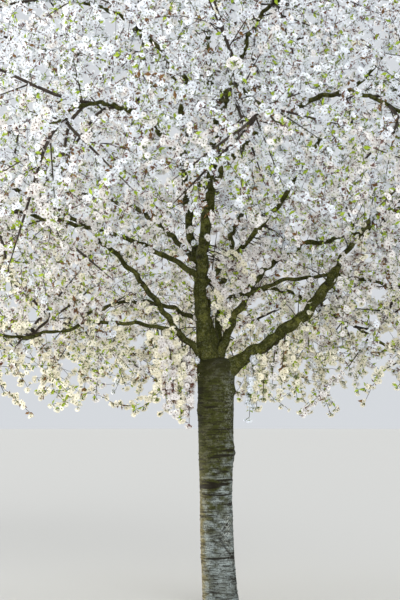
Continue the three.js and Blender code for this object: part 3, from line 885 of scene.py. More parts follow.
# Twigs in the open by the fork: X and height of the start and the goal, and the share that is bare
OPEN_TWIGS = (
    (-168, 3130, -611, 2776, 0.72), (812, 2504, 548, 2620, 0.8), (563, 2224, 509, 2317, 0.9),
    (-90, 2574, -20, 2877, 0.8), (-51, 3079, 66, 3126, 0.5), (-179, 2107, -463, 2045, 0.6),
    (800, 2480, 980, 2240, 0.8), (700, 2380, 1000, 1960, 0.75), (560, 2230, 610, 2400, 0.7),
    (-90, 2740, 80, 2490, 0.3), (-85, 2700, 190, 2440, 0.25), (-80, 2760, 290, 2420, 0.35),
    (-85, 2780, 240, 2530, 0.4), (-90, 2600, 60, 2330, 0.3), (-80, 2500, -10, 2240, 0.3),
    (-80, 2480, 50, 2180, 0.4), (-85, 2560, 130, 2360, 0.4), (-85, 2660, 150, 2540, 0.4),
    (250, 2700, 250, 2850, 0.3), (300, 2740, 360, 2640, 0.3), (330, 2780, 450, 2700, 0.3),
    (350, 2800, 480, 2830, 0.3), (240, 2690, 300, 2590, 0.3), (400, 2850, 540, 2760, 0.3),
    (-160, 1960, -150, 1800, 0.3), (-170, 1980, -260, 1790, 0.3), (-260, 2010, -350, 1840, 0.3),
    (-300, 2030, -450, 1860, 0.3), (-380, 2050, -530, 1810, 0.4), (-150, 1950, -215, 1850, 0.3),
    (-240, 2000, -235, 1400, 0.1), (-330, 2050, -300, 1440, 0.1), (-420, 2110, -350, 1490, 0.1),
    (-480, 2170, -410, 1550, 0.1), (-540, 2220, -480, 1600, 0.1), (-280, 2020, -250, 1600, 0.1),
    (-370, 2080, -320, 1650, 0.1), (-450, 2140, -420, 1700, 0.1),
    (250, 2050, 225, 1450, 0.15), (300, 2080, 280, 1530, 0.15), (340, 2110, 330, 1600, 0.15),
    (250, 2050, 250, 1620, 0.15), (400, 2150, 400, 1700, 0.15), (460, 2200, 470, 1650, 0.15),
)
OPEN_TWIG_THICK = (12, 4.6)
OPEN_TWIG_LEAN = -0.25
OPEN_TWIG_LIFT = 0.5
LIMB_PLACES = 60

# Spurs: short shoots on the limbs themselves
SPUR_GAP = 70
SPUR_LENGTH = (40, 130)
SPUR_THICK = (7, 3.5)
SPUR_BARE = 0.6
SPUR_FIRST = 0.2
SPUR_FORWARD = 0.4

# Twigs of the masses as tubes
TWIG_RINGS = 12
TWIG_SIDES = 6
TWIG_BARE = 0.35
TWIG_TAPER_SHARES = (0, 0.5, 0.75, 1)
TWIG_TAPER = (28, 20, 13, 5)
SIDE_SPRAY_SIDES = 4
FINE_SIDES = 3

# Blossom: clusters stand round each twig, and flowers on stalks round each cluster's bud
CLUSTER_START = 0.12
FINE_BARE = (0.05, 0.42)
CLUSTER_JITTER = 0.35
CLUSTER_SIZES = (1.3, 3.0)
CLOUD_FLOWERS = 2.2
LOW_FLOWERS = 1.3
LOW_HEIGHTS = (1400, 2500)
OPEN_FLOWERS = 2.5
CLUMP_FLOWERS = 4
CLOUD_LENGTHS = (640, 800, 980, 1200)
CLOUD_SEED = 147
CLUSTER_AHEAD = 0.35
LAST_AHEAD = 2.5
BUD_OUT = 0.7
STALK_SIZES = (0.75, 1.2)
CLUSTER_SPREAD = 0.78
FLOWER_DROOP = 0.18
FLOWER_NOD = 0.3
FLOWER_WOOD_GAP = 21
FLOWER_EDGE = 24
GAP_BATCH = 2000
LOBE_ANGLE = math.radians(31)
NOTCH = 0.84
PETALS = 5
PETAL_SIZES = (0.86, 1.04)
CUP_SIZES = (0.1, 2)
CUP_EVENNESS = 3
STAMEN_REACH = 2.6
# Painted sunlight: the cream tint goes to most of the low flowers and fades out by 2900 mm, for the warm
# low sun on them
SUNLIT_TINT_HEIGHTS = (1400, 2900)
SUNLIT_TINT_SHARES = (0.84, 0.01)
BLUSH_HEIGHTS = (2500, 3700)
BLUSH_SHARES = (0.8, 0.15)
TINTS = ("white", "blush", "sunlit_cream")
SUNLIT_CREAM = TINTS.index("sunlit_cream")
CALYX_COLOURS = ("rose", "green")
GREEN = CALYX_COLOURS.index("green")
CALYX_SHARES = (0.66, 0.34)
LEAF_HEIGHTS = (2800, 4200)
LEAF_CHANCES = (0.6, 0.34)
LEAF_TUFT = 2
LEAF_WIDTH = 0.48
LEAF_FOLD = 0.12
LEAF_WIDEST = 0.45
LEAF_SIZES = (0.7, 1.25)
GREEN_SHARE = 0.75
PIECE_FLOWERS = 19500

# Free twigs may bear blossom in the hollow round the fork, and clumped ones bear more of it
Bearers = namedtuple("Bearers", "points thick bare tint calyx green free clumped")
Flowers = namedtuple("Flowers", "bud centre facing tint calyx")
Leaves = namedtuple("Leaves", "base way length green")
Tree = namedtuple("Tree", "twigs sides fine fine_ends bearers")


def open_twigs():
    """Bent twigs from the nearest place of a limb, seen from the front, to their goals."""
    limbs = np.concatenate([resampled(grown.points, LIMB_PLACES) for grown in GROWN.values()])
    twigs = []
    for x, z, goal_x, goal_z, _ in OPEN_TWIGS:
        start = limbs[np.argmin(np.hypot(limbs[:, 0] - x, limbs[:, 2] - z))]
        depth = start[1] + OPEN_TWIG_LEAN * math.hypot(goal_x - x, goal_z - z)
        goal = np.array([goal_x, depth, goal_z])
        way = unit(unit(goal - start) + np.array([0, 0, OPEN_TWIG_LIFT]))
        twigs.append(bent_curve(start, way, goal, FINE_RINGS - 1))
    return twigs


def spurs():
    """Short shoots from the limbs: places at random along each, standing out across it."""
    paths = []
    for grown in GROWN.values():
        numbers = np.random.default_rng(SPUR_SEED + grown.order)
        for _ in range(int(grown.limb.length / SPUR_GAP)):
            share = numbers.uniform(SPUR_FIRST, 1)
            along = direction_along(grown.points, share)
            side = across_at(along, numbers.uniform(0, TURN))
            start = point_along(grown.points, share)
            reach = limb_radius(grown.limb, share) + numbers.uniform(*SPUR_LENGTH)
            goal = start + (side + SPUR_FORWARD * along) * reach
            paths.append(bent_curve(start, side, goal, FINE_RINGS - 1))
    return paths


def grow_tree():
    """Every mass by the solids' rule, then its finer twigs, and all the paths that bear
    blossom with their thickness at both ends, the share at which the blossom starts, and the
    tints that they are dealt. Spurs and open twigs come last."""
    twigs, sides, fine, bearing_paths = [], [], [], []
    for grown in GROWN.values():
        mass = Mass(grown)
        for points, spray in mass.twigs:
            twigs.append(resampled(np.vstack([points, spray.middle, spray.tip]), TWIG_RINGS))
            bearing_paths.append((resampled(points, FINE_RINGS), TWIG_THICK, TWIG_BARE))
        bearing_paths += [(resampled(spray_axis(spray), FINE_RINGS), AXIS_THICK, CLUSTER_START)
                          for spray in mass.sprays]
        sides += [resampled(spray_axis(spray), FINE_RINGS) for spray in mass.sides]
        fine += fine_twigs(mass, np.random.default_rng(FINE_SEED + grown.order))
    numbers = np.random.default_rng(FLOWER_SEED)
    bearing_paths += [(points, ends, numbers.uniform(*FINE_BARE)) for points, ends in fine]
    free = [(points, SPUR_THICK, SPUR_BARE) for points in spurs()]
    free += [(points, OPEN_TWIG_THICK, twig[-1]) for points, twig in zip(open_twigs(), OPEN_TWIGS)]
    fine += [(points, ends) for points, ends, _ in free]
    bearing_paths += free
    points, thick, bare = (np.array(column) for column in zip(*bearing_paths))
    count = len(points)
    # The cream tint is painted sunlight, dealt mostly to low twigs
    warm, blush = (between(shares, smooth_step(*heights, points[:, -1, 2]))
                   for heights, shares in ((SUNLIT_TINT_HEIGHTS, SUNLIT_TINT_SHARES), (BLUSH_HEIGHTS, BLUSH_SHARES)))
    draw = numbers.uniform(0, 1, count)
    tint = np.where(draw < warm, SUNLIT_CREAM, (draw < warm + (1 - warm) * blush).astype(int))
    calyx = numbers.choice(len(CALYX_SHARES), count, p=CALYX_SHARES)
    calyx[tint == SUNLIT_CREAM] = GREEN
    order = np.arange(count)
    bearers = Bearers(
        points, thick, bare, tint, calyx, numbers.uniform(0, 1, count) < GREEN_SHARE,
        order >= count - len(free), order >= count - len(OPEN_TWIGS))
    fine_points, fine_ends = (np.array(column) for column in zip(*fine))
    return Tree(np.array(twigs), np.array(sides), fine_points, fine_ends, bearers)


def twig_parts(tree):
    """The masses' twigs and side sprays as tubes that taper evenly, and the finer twigs."""
    twigs = np.interp(np.linspace(0, 1, TWIG_RINGS), TWIG_TAPER_SHARES, TWIG_TAPER)
    fine = between((tree.fine_ends[:, :1], tree.fine_ends[:, 1:]), np.linspace(0, 1, FINE_RINGS))
    batches = ((tree.twigs, twigs, TWIG_SIDES),
               (tree.sides, np.linspace(*AXIS_THICK, FINE_RINGS), SIDE_SPRAY_SIDES),
               (tree.fine, fine, FINE_SIDES))
    return [(tube_rings(paths, np.broadcast_to(thick, paths.shape[:2]) / 2, sides),
             tube_faces(len(paths), paths.shape[1], sides)) for paths, thick, sides in batches]


def round_twig(bearers, numbers, gap):
    """Buds round twigs: places at even steps with a jitter, each stood off the twig's middle
    line by its radius in a random direction. Returns the bud, the way out and the twig."""
    points, bare = bearers.points, bearers.bare
    length = np.linalg.norm(np.diff(points, axis=1), axis=2).sum(1)
    count = np.maximum(np.round(length * (1 - bare) / gap), 1).astype(int)
    twig = np.repeat(np.arange(len(count)), count)
    step = np.arange(len(twig)) - np.repeat(np.cumsum(count) - count, count)
    last = step == count[twig] - 1
    jitter = numbers.uniform(-CLUSTER_JITTER, CLUSTER_JITTER, len(twig))
    share = bare[twig] + (1 - bare[twig]) * (step + 0.5 + jitter) / count[twig]
    share = np.where(last, 1, share)
    place = share * (FINE_RINGS - 1)
    index = np.minimum(place.astype(int), FINE_RINGS - 2)
    low, high = points[twig, index], points[twig, index + 1]
    middle = between((low, high), (place - index)[:, None])
    along = unit(high - low)
    side = across_at(along, numbers.uniform(0, TURN, len(twig))[:, None])
    radius = between(bearers.thick[twig].T, share)[:, None] / 2
    ahead = np.where(last, LAST_AHEAD, CLUSTER_AHEAD)[:, None]
    return middle + side * radius * BUD_OUT, unit(side + along * ahead), twig


def some_of(rows, chosen):
    """The chosen rows of a named group of columns."""
    return rows._make(column[chosen] for column in rows)


def keep_open(centres, anywhere):
    """Inside the crown's outline or on a twig that may leave it, and clear of the limbs."""
    keep = inside_outline(centres, FLOWER_EDGE) | anywhere
    segments = wood_segments()
    for first in range(0, len(centres), GAP_BATCH):
        part = slice(first, first + GAP_BATCH)
        keep[part] &= gap_to_segments(centres[part], segments) > FLOWER_WOOD_GAP
    return keep


def grow_flowers(bearers, gap, stalk):
    """Flowers round each cluster's bud: each stands off on a stalk whose way is the cluster's
    way plus a random spread and a droop, and faces nearly along it."""
    numbers = np.random.default_rng(FLOWER_SEED + 1)
    bud, way, twig = round_twig(bearers, numbers, gap)
    keep = ~inside_hollow(bud, BACK_HOLLOW) | bearers.free[twig]
    bud, way, twig = bud[keep], way[keep], twig[keep]
    more = CLOUD_FLOWERS * clouds(bud, CLOUD_LENGTHS, CLOUD_SEED)
    more += LOW_FLOWERS * (1 - smooth_step(*LOW_HEIGHTS, bud[:, 2]))
    more += OPEN_FLOWERS * bearers.free[twig]
    more += CLUMP_FLOWERS * bearers.clumped[twig]
    size = np.round(numbers.uniform(*CLUSTER_SIZES, len(bud)) + more).astype(int)
    own = np.repeat(np.arange(len(bud)), size)
    bud, way, twig = bud[own], way[own], twig[own]
    spread = numbers.normal(0, CLUSTER_SPREAD, (len(own), 3))
    spread[:, 2] -= FLOWER_DROOP
    out = unit(way + spread)
    centre = bud + out * (stalk * numbers.uniform(*STALK_SIZES, (len(own), 1)))
    facing = unit(out + numbers.normal(0, FLOWER_NOD, (len(own), 3)))
    flowers = Flowers(bud, centre, facing, bearers.tint[twig], bearers.calyx[twig])
    return some_of(flowers, keep_open(centre, bearers.free[twig]))


def petal_corners(flowers, width, cup, numbers):
    """Each flower's middle, then a lobe, the notch and a lobe for each of five petals: the
    reach times the cosine and the sine of the turn across its facing, lifted along it."""
    count = len(flowers.centre)
    centre, facing = flowers.centre[:, None, None], flowers.facing[:, None, None]
    spin = numbers.uniform(0, TURN, (count, 1, 1))
    lobe = np.array([-LOBE_ANGLE, 0, LOBE_ANGLE])
    turn = (spin + turns_round(PETALS)[None, :, None] + lobe)[..., None]
    size = width / 2 * numbers.uniform(*PETAL_SIZES, (count, PETALS, 1))
    reach = (size * np.array([1, NOTCH, 1]))[..., None]
    lift = numbers.uniform(*CUP_SIZES, (count, 1, 1)) * cup + numbers.normal(
        0, cup / CUP_EVENNESS, (count, PETALS, 3))
    edge = centre + reach * across_at(facing, turn) + lift[..., None] * facing
    return np.concatenate([centre[:, 0], edge.reshape(count, -1, 3)], axis=1).reshape(-1, 3)


PETAL_FACES = [face for petal in range(PETALS) for face in (
    (0, 1 + 3 * petal, 2 + 3 * petal), (0, 2 + 3 * petal, 3 + 3 * petal))]
STALK_FACES = [(0, 2, 1), (0, 3, 2), (0, 1, 3), (1, 2, 3)]
LEAF_FACES = [(0, 2, 4), (2, 3, 4), (3, 1, 4), (1, 0, 4)]


def stalk_corners(flowers, thick):
    """A three-sided stalk that widens from the bud through the calyx, and ends in the flat tuft
    of stamens just in front of the petals' middle."""
    across = across_at(flowers.facing[:, None], turns_round(3)[:, None])
    tuft = (flowers.centre + flowers.facing * STAMEN_REACH)[:, None] + thick / 2 * across
    return np.concatenate([flowers.bud[:, None], tuft], axis=1).reshape(-1, 3)


def grow_leaves(bearers, gap, length):
    """Young leaves in tufts of two by some of the clusters, more of them low in the crown."""
    numbers = np.random.default_rng(FLOWER_SEED + 2)
    base, way, twig = round_twig(bearers, numbers, gap)
    chance = between(LEAF_CHANCES, smooth_step(*LEAF_HEIGHTS, base[:, 2]))
    keep = (numbers.uniform(0, 1, len(base)) < chance) & (
        ~inside_hollow(base, BACK_HOLLOW) | bearers.free[twig])
    own = np.repeat(np.flatnonzero(keep), LEAF_TUFT)
    base, twig = base[own], twig[own]
    out = unit(way[own] + numbers.normal(0, CLUSTER_SPREAD, (len(own), 3)))
    size = length * numbers.uniform(*LEAF_SIZES, len(own))
    leaves = Leaves(base, out, size, bearers.green[twig])
    return some_of(leaves, keep_open(base + out * size[:, None], bearers.free[twig]))


def leaf_corners(leaves, numbers):
    """A leaf of four faces: its base, two sides and tip, and a midrib that lies lower."""
    flat = across_at(leaves.way, numbers.uniform(0, TURN, (len(leaves.way), 1)))
    size = leaves.length[:, None]
    side, fold = flat * size * LEAF_WIDTH / 2, np.cross(flat, leaves.way) * size * LEAF_FOLD
    middle = leaves.base + leaves.way * size * LEAF_WIDEST
    tip = leaves.base + leaves.way * size - fold
    return np.stack(
        [leaves.base, middle - side, middle + side, tip, middle - fold], 1).reshape(-1, 3)


# Materials: the bark's noises by scale, detail and roughness, its steps by value, limits and most
BARK_NOISES = {
    "patches": ((14, 14, 22), 6.0, 0.62), "grain": ((85, 85, 85), 4.0, 0.65),
    "fine": ((9, 9, 110), 4.0, 0.55), "coarse": ((4, 4, 36), 4.0, 0.55)}
BARK_LAYERS = ("dark", "moss", "speck", "lines", "dry_and_sunlit")
BARK_STEPS = {
    "light": ("patches", 0.4, 0.66, 1), "wet": ("patches", 0.6, 0.38, 1),
    # The dry step gives random dry patches; the layer of the same name adds painted sunlight on the
    # trunk's left edge
    "film": ("moss", 0.25, 1.1, 0.97), "dry_and_sunlit": ("patches", 0.44, 0.62, 0.2),
    "fine": ("fine", 0.52, 0.4, 0.65), "coarse": ("coarse", 0.44, 0.37, 0.92),
    # The band step follows the dark layer, which on the trunk also holds painted shade in the scar's
    # crease and the folds
    "band": ("dark", 0.15, 0.85, 0.9), "speck": ("grain", 0.53, 0.6, 1),
    "pit": ("grain", 0.47, 0.38, 0.75)}
WET_SHARE = 0.4
BARK_FILMS = ("crack_and_shade", "moss", "dry_and_sunlit_moss", "lichen")


def linear(code):
    """Linear colour of an sRGB hex value: each channel's low part is divided, the rest is
    raised to a power."""
    channels = [int(code[index:index + 2], 16) / 255 for index in (1, 3, 5)]
    return tuple(c / 12.92 if c <= 0.04045 else ((c + 0.055) / 1.055) ** 2.4 for c in channels)


def colour_property(name, description, code):
    return FloatVectorProperty(
        name=name, description=description, default=linear(code), size=3, min=0, max=1,
        subtype="COLOR")


def length_property(name, description, default, low, high):
    return FloatProperty(
        name=name, description=description, default=default, min=low, max=high,
        subtype="DISTANCE", unit="LENGTH")


def strength_property(name, description, default, high=20):
    return FloatProperty(name=name, description=description, default=default, min=0, max=high)


def add_node(tree, kind, inputs=None, output=0, **settings):
    """Adds a node with its own settings, and gives one of its outputs by number or name. Each
    input is a value, or another node's output."""
    node = tree.nodes.new(kind)
    for key, value in settings.items():
        setattr(node, key, value)
    for key, value in (inputs or {}).items():
        if isinstance(value, bpy.types.NodeSocket):
            tree.links.new(value, node.inputs[key])
        else:
            node.inputs[key].default_value = value
    return node.outputs[output] if node.outputs else None


def new_material(name):
    """A material with an empty tree of nodes, and the tree."""
    material = bpy.data.materials.new(name)
    material.use_nodes = True
    material.node_tree.nodes.clear()
    return material, material.node_tree


def bark_material(name, colours, laid, roughness):
    """Cherry bark: a satin grey-brown skin that peels in bands across the stem, with rough brown
    lenticels in rows, a green-brown film where it stays damp, dried to buff in random patches,
    and pale lichen in specks. On the trunk's left edge the buff film is painted sunlight, and
    the dark colour also paints shade in the scar's crease and in the folds between shoulders.
    Its fine bands are 9 mm apart and the strong ones 28 mm, the film's patches are 60 mm wide
    and the specks 12 mm. Places are taken as they are, or, where laid, as if the limb stood
    straight."""
    base, light, dark, moss, dry_and_sunlit_moss, pale = colours
    material, tree = new_material(name)
    if laid:
        place = add_node(tree, "ShaderNodeAttribute", output="Vector", attribute_name="laid")
    else:
        place = add_node(tree, "ShaderNodeTexCoord", output="Object")
    values = {key: add_node(tree, "ShaderNodeAttribute", output="Fac", attribute_name=key)
              for key in BARK_LAYERS}
    for key, (scale, detail, rough) in BARK_NOISES.items():
        scaled = add_node(tree, "ShaderNodeMapping", {"Vector": place, "Scale": scale})
        values[key] = add_node(tree, "ShaderNodeTexNoise", {
            "Vector": scaled, "Scale": 1.0, "Detail": detail, "Roughness": rough})
    shares = {}
    for key, (source, low, high, most) in BARK_STEPS.items():
        value = values[source]
        if key == "film":
            value = add_node(tree, "ShaderNodeMath", {0: shares["wet"], 1: WET_SHARE, 2: value},
                             operation="MULTIPLY_ADD")
        shares[key] = add_node(
            tree, "ShaderNodeMapRange",
            {"Value": value, "From Min": low, "From Max": high, "To Max": most},
            interpolation_type="SMOOTHSTEP")
    for key, layer in (("fine", "lines"), ("coarse", "lines"), ("speck", "speck")):
        shares[key] = add_node(tree, "ShaderNodeMath", {0: shares[key], 1: values[layer]},
                               operation="MULTIPLY")
    # The film's dry share: random dry patches plus painted sunlight on the trunk's left edge
    dry_and_sunlit_share = add_node(tree, "ShaderNodeMath", {0: shares["dry_and_sunlit"], 1: values["dry_and_sunlit"]},
                       operation="ADD", use_clamp=True)
    film = add_node(tree, "ShaderNodeMix", {0: dry_and_sunlit_share, 6: moss, 7: dry_and_sunlit_moss}, 2,
                    data_type="RGBA")
    colour = base
    for key, over in (("light", light), ("film", film), ("fine", dark), ("coarse", dark),
                      ("band", dark), ("speck", pale), ("pit", dark)):
        colour = add_node(tree, "ShaderNodeMix", {0: shares[key], 6: colour, 7: over}, 2,
                          data_type="RGBA")
    height = values["fine"]
    for key in ("coarse", "grain"):
        height = add_node(tree, "ShaderNodeMath", {0: height, 1: values[key]}, operation="ADD")
    bump = add_node(tree, "ShaderNodeBump", {"Height": height, "Strength": 0.7, "Distance": 0.003})
    shader = add_node(tree, "ShaderNodeBsdfPrincipled", {
        "Base Color": colour, "Roughness": roughness, "IOR": 1.45, "Specular IOR Level": 0.1,
        "Normal": bump})
    add_node(tree, "ShaderNodeOutputMaterial", {"Surface": shader})
    return material


def twig_material(colour, light):
    """Young cherry twigs: smooth red-brown bark, mottled with paler weathered bark.
    The mottling is 30 mm wide, as finer would not show."""
    material, tree = new_material("young_twig_bark")
    place = add_node(tree, "ShaderNodeTexCoord", output="Object")
    mottle = add_node(tree, "ShaderNodeTexNoise", {
        "Vector": place, "Scale": 34.0, "Detail": 3.0, "Roughness": 0.6})
    share = add_node(tree, "ShaderNodeMapRange", {
        "Value": mottle, "From Min": 0.4, "From Max": 0.68}, interpolation_type="SMOOTHSTEP")
    blend = add_node(tree, "ShaderNodeMix", {0: share, 6: colour, 7: light}, 2, data_type="RGBA")
    shader = add_node(tree, "ShaderNodeBsdfPrincipled", {
        "Base Color": blend, "Roughness": 0.62, "IOR": 1.45, "Specular IOR Level": 0.4})
    add_node(tree, "ShaderNodeOutputMaterial", {"Surface": shader})
    return material


def thin_material(name, colour, roughness, sheen, through):
    """Living tissue a fraction of a millimetre thick: matt, soft at grazing angles, and lit
    from behind as well as from in front. One colour, as each spray is dealt its own."""
    material, tree = new_material(name)
    front = add_node(tree, "ShaderNodeBsdfPrincipled", {
        "Base Color": colour, "Roughness": roughness, "IOR": 1.4, "Specular IOR Level": 0.25,
        "Sheen Weight": sheen, "Sheen Roughness": 0.5})
    back = add_node(tree, "ShaderNodeBsdfTranslucent", {"Color": colour})
    both = add_node(tree, "ShaderNodeMixShader", {0: through, 1: front, 2: back})
    add_node(tree, "ShaderNodeOutputMaterial", {"Surface": both})
    return material


# Sizes and colours that can be changed
class CherrySizes(bpy.types.PropertyGroup):
    flower_width: length_property(
        "Flower width", "Width of an open flower, a little over life", 0.046, 0.02, 0.08)
    petal_cup: length_property(
        "Petal cup", "How far the petals' lobes stand in front of the middle", 0.005, 0, 0.02)
    stalk_length: length_property(
        "Stalk length", "From a cluster's bud to a flower", 0.031, 0.01, 0.06)
    calyx_width: length_property(
        "Calyx width", "Width of the calyx and the tuft of stamens", 0.0115, 0.002, 0.02)
    cluster_gap: length_property(
        "Cluster gap", "Length of twig for each cluster of flowers", 0.05, 0.03, 0.3)
    leaf_length: length_property(
        "Leaf length", "Length of a young leaf", 0.046, 0.01, 0.1)
    bark_lip: length_property(
        "Band height", "How far the trunk's lenticel bands stand out", 0.0042, 0, 0.01)
    bark_lump: length_property(
        "Lump height", "How far the trunk's low lumps stand out", 0.0016, 0, 0.01)


class CherryColours(bpy.types.PropertyGroup):
    silver_bark: colour_property("Silver bark", "The trunk's weathered skin", "#666b66")
    pale_bark: colour_property("Pale bark", "The trunk's palest patches", "#8a9391")
    # Also painted shade in the scar's crease and in the folds between the shoulders
    crack_and_shade: colour_property("Cracks", "Cracks and lenticels", "#1c1811")
    moss: colour_property("Green film", "The film on damp bark", "#36390f")
    # Also painted sunlight: the lighter film on the trunk's left edge where the low light falls
    dry_and_sunlit_moss: colour_property("Dry film", "The film where the sun dries it", "#706847")
    lichen: colour_property("Lichen", "Pale specks on the trunk", "#b4b7ae")
    bough_bark: colour_property("Bough bark", "The boughs' skin", "#20210a")
    pale_bough: colour_property("Pale bough bark", "The boughs' palest patches", "#60622a")
    twig: colour_property("Twigs", "Young bark", "#271f17")
    pale_twig: colour_property("Pale twigs", "Weathered young bark", "#43392c")
    white_petal: colour_property("White petals", "Flowers with a cool cast", "#f5f9ff")
    blush_petal: colour_property("Blush petals", "Flowers with a faint warm cast", "#f7f4f2")
    # Painted sunlight: the cream tint paints the warm low sun on the low flowers
    sunlit_cream_petal: colour_property("Cream petals", "Low flowers, as the low sun warms them", "#fcf7e5")
    rose_calyx: colour_property("Rose calyces", "Calyces and stalks turned red", "#6e473a")
    green_calyx: colour_property("Green calyces", "Calyces and stalks still green", "#626d33")
    green_leaf: colour_property("Green leaves", "Young leaves", "#a2b83a")
    bronze_leaf: colour_property("Bronze leaves", "Leaves just opened", "#80603c")
    floor: colour_property("Floor", "The studio floor", "#b9bab9")


class CherryStudio(bpy.types.PropertyGroup):
    sky: strength_property("Sky", "Strength of the even light", 0.79, 4)
    key: strength_property("Key", "Strength of the warm light from behind on the left", 5.9)
    fill: strength_property("Fill", "Strength of the soft light in front", 2.8)


def ride_and_replace(piece, nodes):
    """The piece goes with the tree and stands for its solids, which are hidden."""
    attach(piece, BODY)
    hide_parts(*nodes)


def sized(context, *names):
    """The named sizes in millimetres."""
    return [getattr(context.scene.cherry_sizes, name) / MILLIMETRE for name in names]


def coloured(context, *names):
    """The named colours, each with an alpha of 1."""
    return [(*getattr(context.scene.cherry_colours, name), 1) for name in names]


def add_repeats(name, corners, count, pattern, material):
    """A piece in place of the masses: one small shape many times over, as its corners for each
    repeat in turn and the faces of one."""
    faces = repeated_faces(count, len(corners) // count, pattern)
    ride_and_replace(new_piece(name, corners, faces, material), MASS_NODES)


class CHERRY_OT_trunk(bpy.types.Operator):
    """The trunk's bark, with its flare, knots, bands and scar"""
    bl_idname = "cherry.trunk"
    bl_label = "Trunk"

    def execute(self, context):
        corners, faces, layers = trunk_mesh(*sized(context, "bark_lip", "bark_lump"))
        material = bark_material(
            "cherry_trunk_bark", coloured(context, "silver_bark", "pale_bark", *BARK_FILMS),
            laid=False, roughness=0.72)
        piece = new_piece("trunk_bark", corners, faces, material, layers, smooth=True)
        ride_and_replace(piece, ["trunk"])
        return {"FINISHED"}


class CHERRY_OT_boughs(bpy.types.Operator):
    """The boughs' bark, each bough run on as the stem of its mass"""
    bl_idname = "cherry.boughs"
    bl_label = "Boughs"

    def execute(self, context):
        meshes = [limb_mesh(grown, LIMB_LIP, LIMB_LUMP) for grown in GROWN.values()]
        corners, faces = joined([mesh[:2] for mesh in meshes])
        layers = {key: np.concatenate([mesh[2][key] for mesh in meshes]) for key in meshes[0][2]}
        material = bark_material(
            "cherry_bough_bark", coloured(context, "bough_bark", "pale_bough", *BARK_FILMS),
            laid=True, roughness=0.8)
        piece = new_piece("bough_bark", corners, faces, material, layers, smooth=True)
        ride_and_replace(piece, list(GROWN))
        return {"FINISHED"}


class CHERRY_OT_twigs(bpy.types.Operator):
    """The twigs of the masses, carried on to finer twigs"""
    bl_idname = "cherry.twigs"
    bl_label = "Twigs"

    def execute(self, context):
        material = twig_material(*coloured(context, "twig", "pale_twig"))
        piece = new_piece("twigs", *joined(twig_parts(tree_growth())), material, smooth=True)
        ride_and_replace(piece, MASS_NODES)
        return {"FINISHED"}


class CHERRY_OT_petals(bpy.types.Operator):
    """The open flowers' petals, in three tints dealt out by twig"""
    bl_idname = "cherry.petals"
    bl_label = "Petals"

    def execute(self, context):
        flowers = tree_flowers(context)
        for tint, name in enumerate(TINTS):
            material = thin_material(
                name + "_cherry_petal", *coloured(context, name + "_petal"), roughness=0.6,
                sheen=0.15, through=0.35)
            chosen = np.flatnonzero(flowers.tint == tint)
            pieces = math.ceil(len(chosen) / PIECE_FLOWERS)
            for number, part in enumerate(np.array_split(chosen, pieces), 1):
                corners = petal_corners(
                    some_of(flowers, part), *sized(context, "flower_width", "petal_cup"),
                    np.random.default_rng(FLOWER_SEED + TINT_SEEDS * tint + number))
                add_repeats(
                    f"{name}_petals_{number}", corners, len(part), PETAL_FACES, material)
        return {"FINISHED"}


class CHERRY_OT_calyces(bpy.types.Operator):
    """The flowers' stalks, calyces and stamens, in two tints dealt out by twig"""
    bl_idname = "cherry.calyces"
    bl_label = "Stalks and Calyces"

    def execute(self, context):
        flowers = tree_flowers(context)
        for tint, name in enumerate(CALYX_COLOURS):
            some = some_of(flowers, flowers.calyx == tint)
            material = thin_material(
                name + "_calyx", *coloured(context, name + "_calyx"), roughness=0.55, sheen=0.1,
                through=0.15)
            corners = stalk_corners(some, *sized(context, "calyx_width"))
            add_repeats(name + "_calyces", corners, len(some.centre), STALK_FACES, material)
        return {"FINISHED"}


class CHERRY_OT_leaves(bpy.types.Operator):
    """The young leaves, green and bronze"""
    bl_idname = "cherry.leaves"
    bl_label = "Young Leaves"

    def execute(self, context):
        leaves = grow_leaves(
            tree_growth().bearers, *sized(context, "cluster_gap", "leaf_length"))
        for green, name in ((True, "green"), (False, "bronze")):
            some = some_of(leaves, leaves.green == green)
            material = thin_material(
                name + "_leaf", *coloured(context, name + "_leaf"), roughness=0.45, sheen=0.0,
                through=0.35)
            corners = leaf_corners(some, np.random.default_rng(LEAF_SEED + green))
            add_repeats(name + "_leaves", corners, len(some.base), LEAF_FACES, material)
        return {"FINISHED"}


# The stage: the floor, the camera and the lights
FLOOR_RADIUS = 60000
FLOOR_SIDES = 96
FLOOR_RINGS = 12
FLOOR_POWER = 3
CAMERA_PLACE = (-0.152, -13.22, 1.656)
CAMERA_PITCH = math.radians(93.03)
CAMERA_LENS = 102
CAMERA_REACH = 200
KEY_PLACE = (-8.5, 3.5, 2.6)
KEY_SOFTNESS = math.radians(14)
KEY_WARMTH = "#fff9ef"
FILL_PLACE = (3.5, -11, 2.4)
FILL_SOFTNESS = math.radians(45)
SKY_COLOUR = "#edf1f6"


def floor_mesh():
    """A flat disc of rings whose radius grows as a power of the ring."""
    turn = turns_round(FLOOR_SIDES)
    radius = FLOOR_RADIUS * (np.arange(1, FLOOR_RINGS + 1)[:, None] / FLOOR_RINGS) ** FLOOR_POWER
    walls = np.stack([radius * np.cos(turn), radius * np.sin(turn), 0 * radius * turn], -1)
    corners = np.concatenate([walls.reshape(-1, 3), [[0, 0, 0], [0, 0, 0]]])
    faces = tube_faces(1, FLOOR_RINGS, FLOOR_SIDES)
    return corners, faces[:FLOOR_SIDES * (2 * FLOOR_RINGS - 1), ::-1]


def add_sun(name, place, colour, strength, softness):
    """An even light from the side of a place, as wide across as an angle in the sky."""
    data = bpy.data.lights.new(name, "SUN")
    data.color, data.energy, data.angle = colour, strength, softness
    light = bpy.data.objects.new(name, data)
    light.location = place
    light.rotation_euler = (-Vector(place)).to_track_quat("-Z", "Y").to_euler()
    bpy.context.scene.collection.objects.link(light)


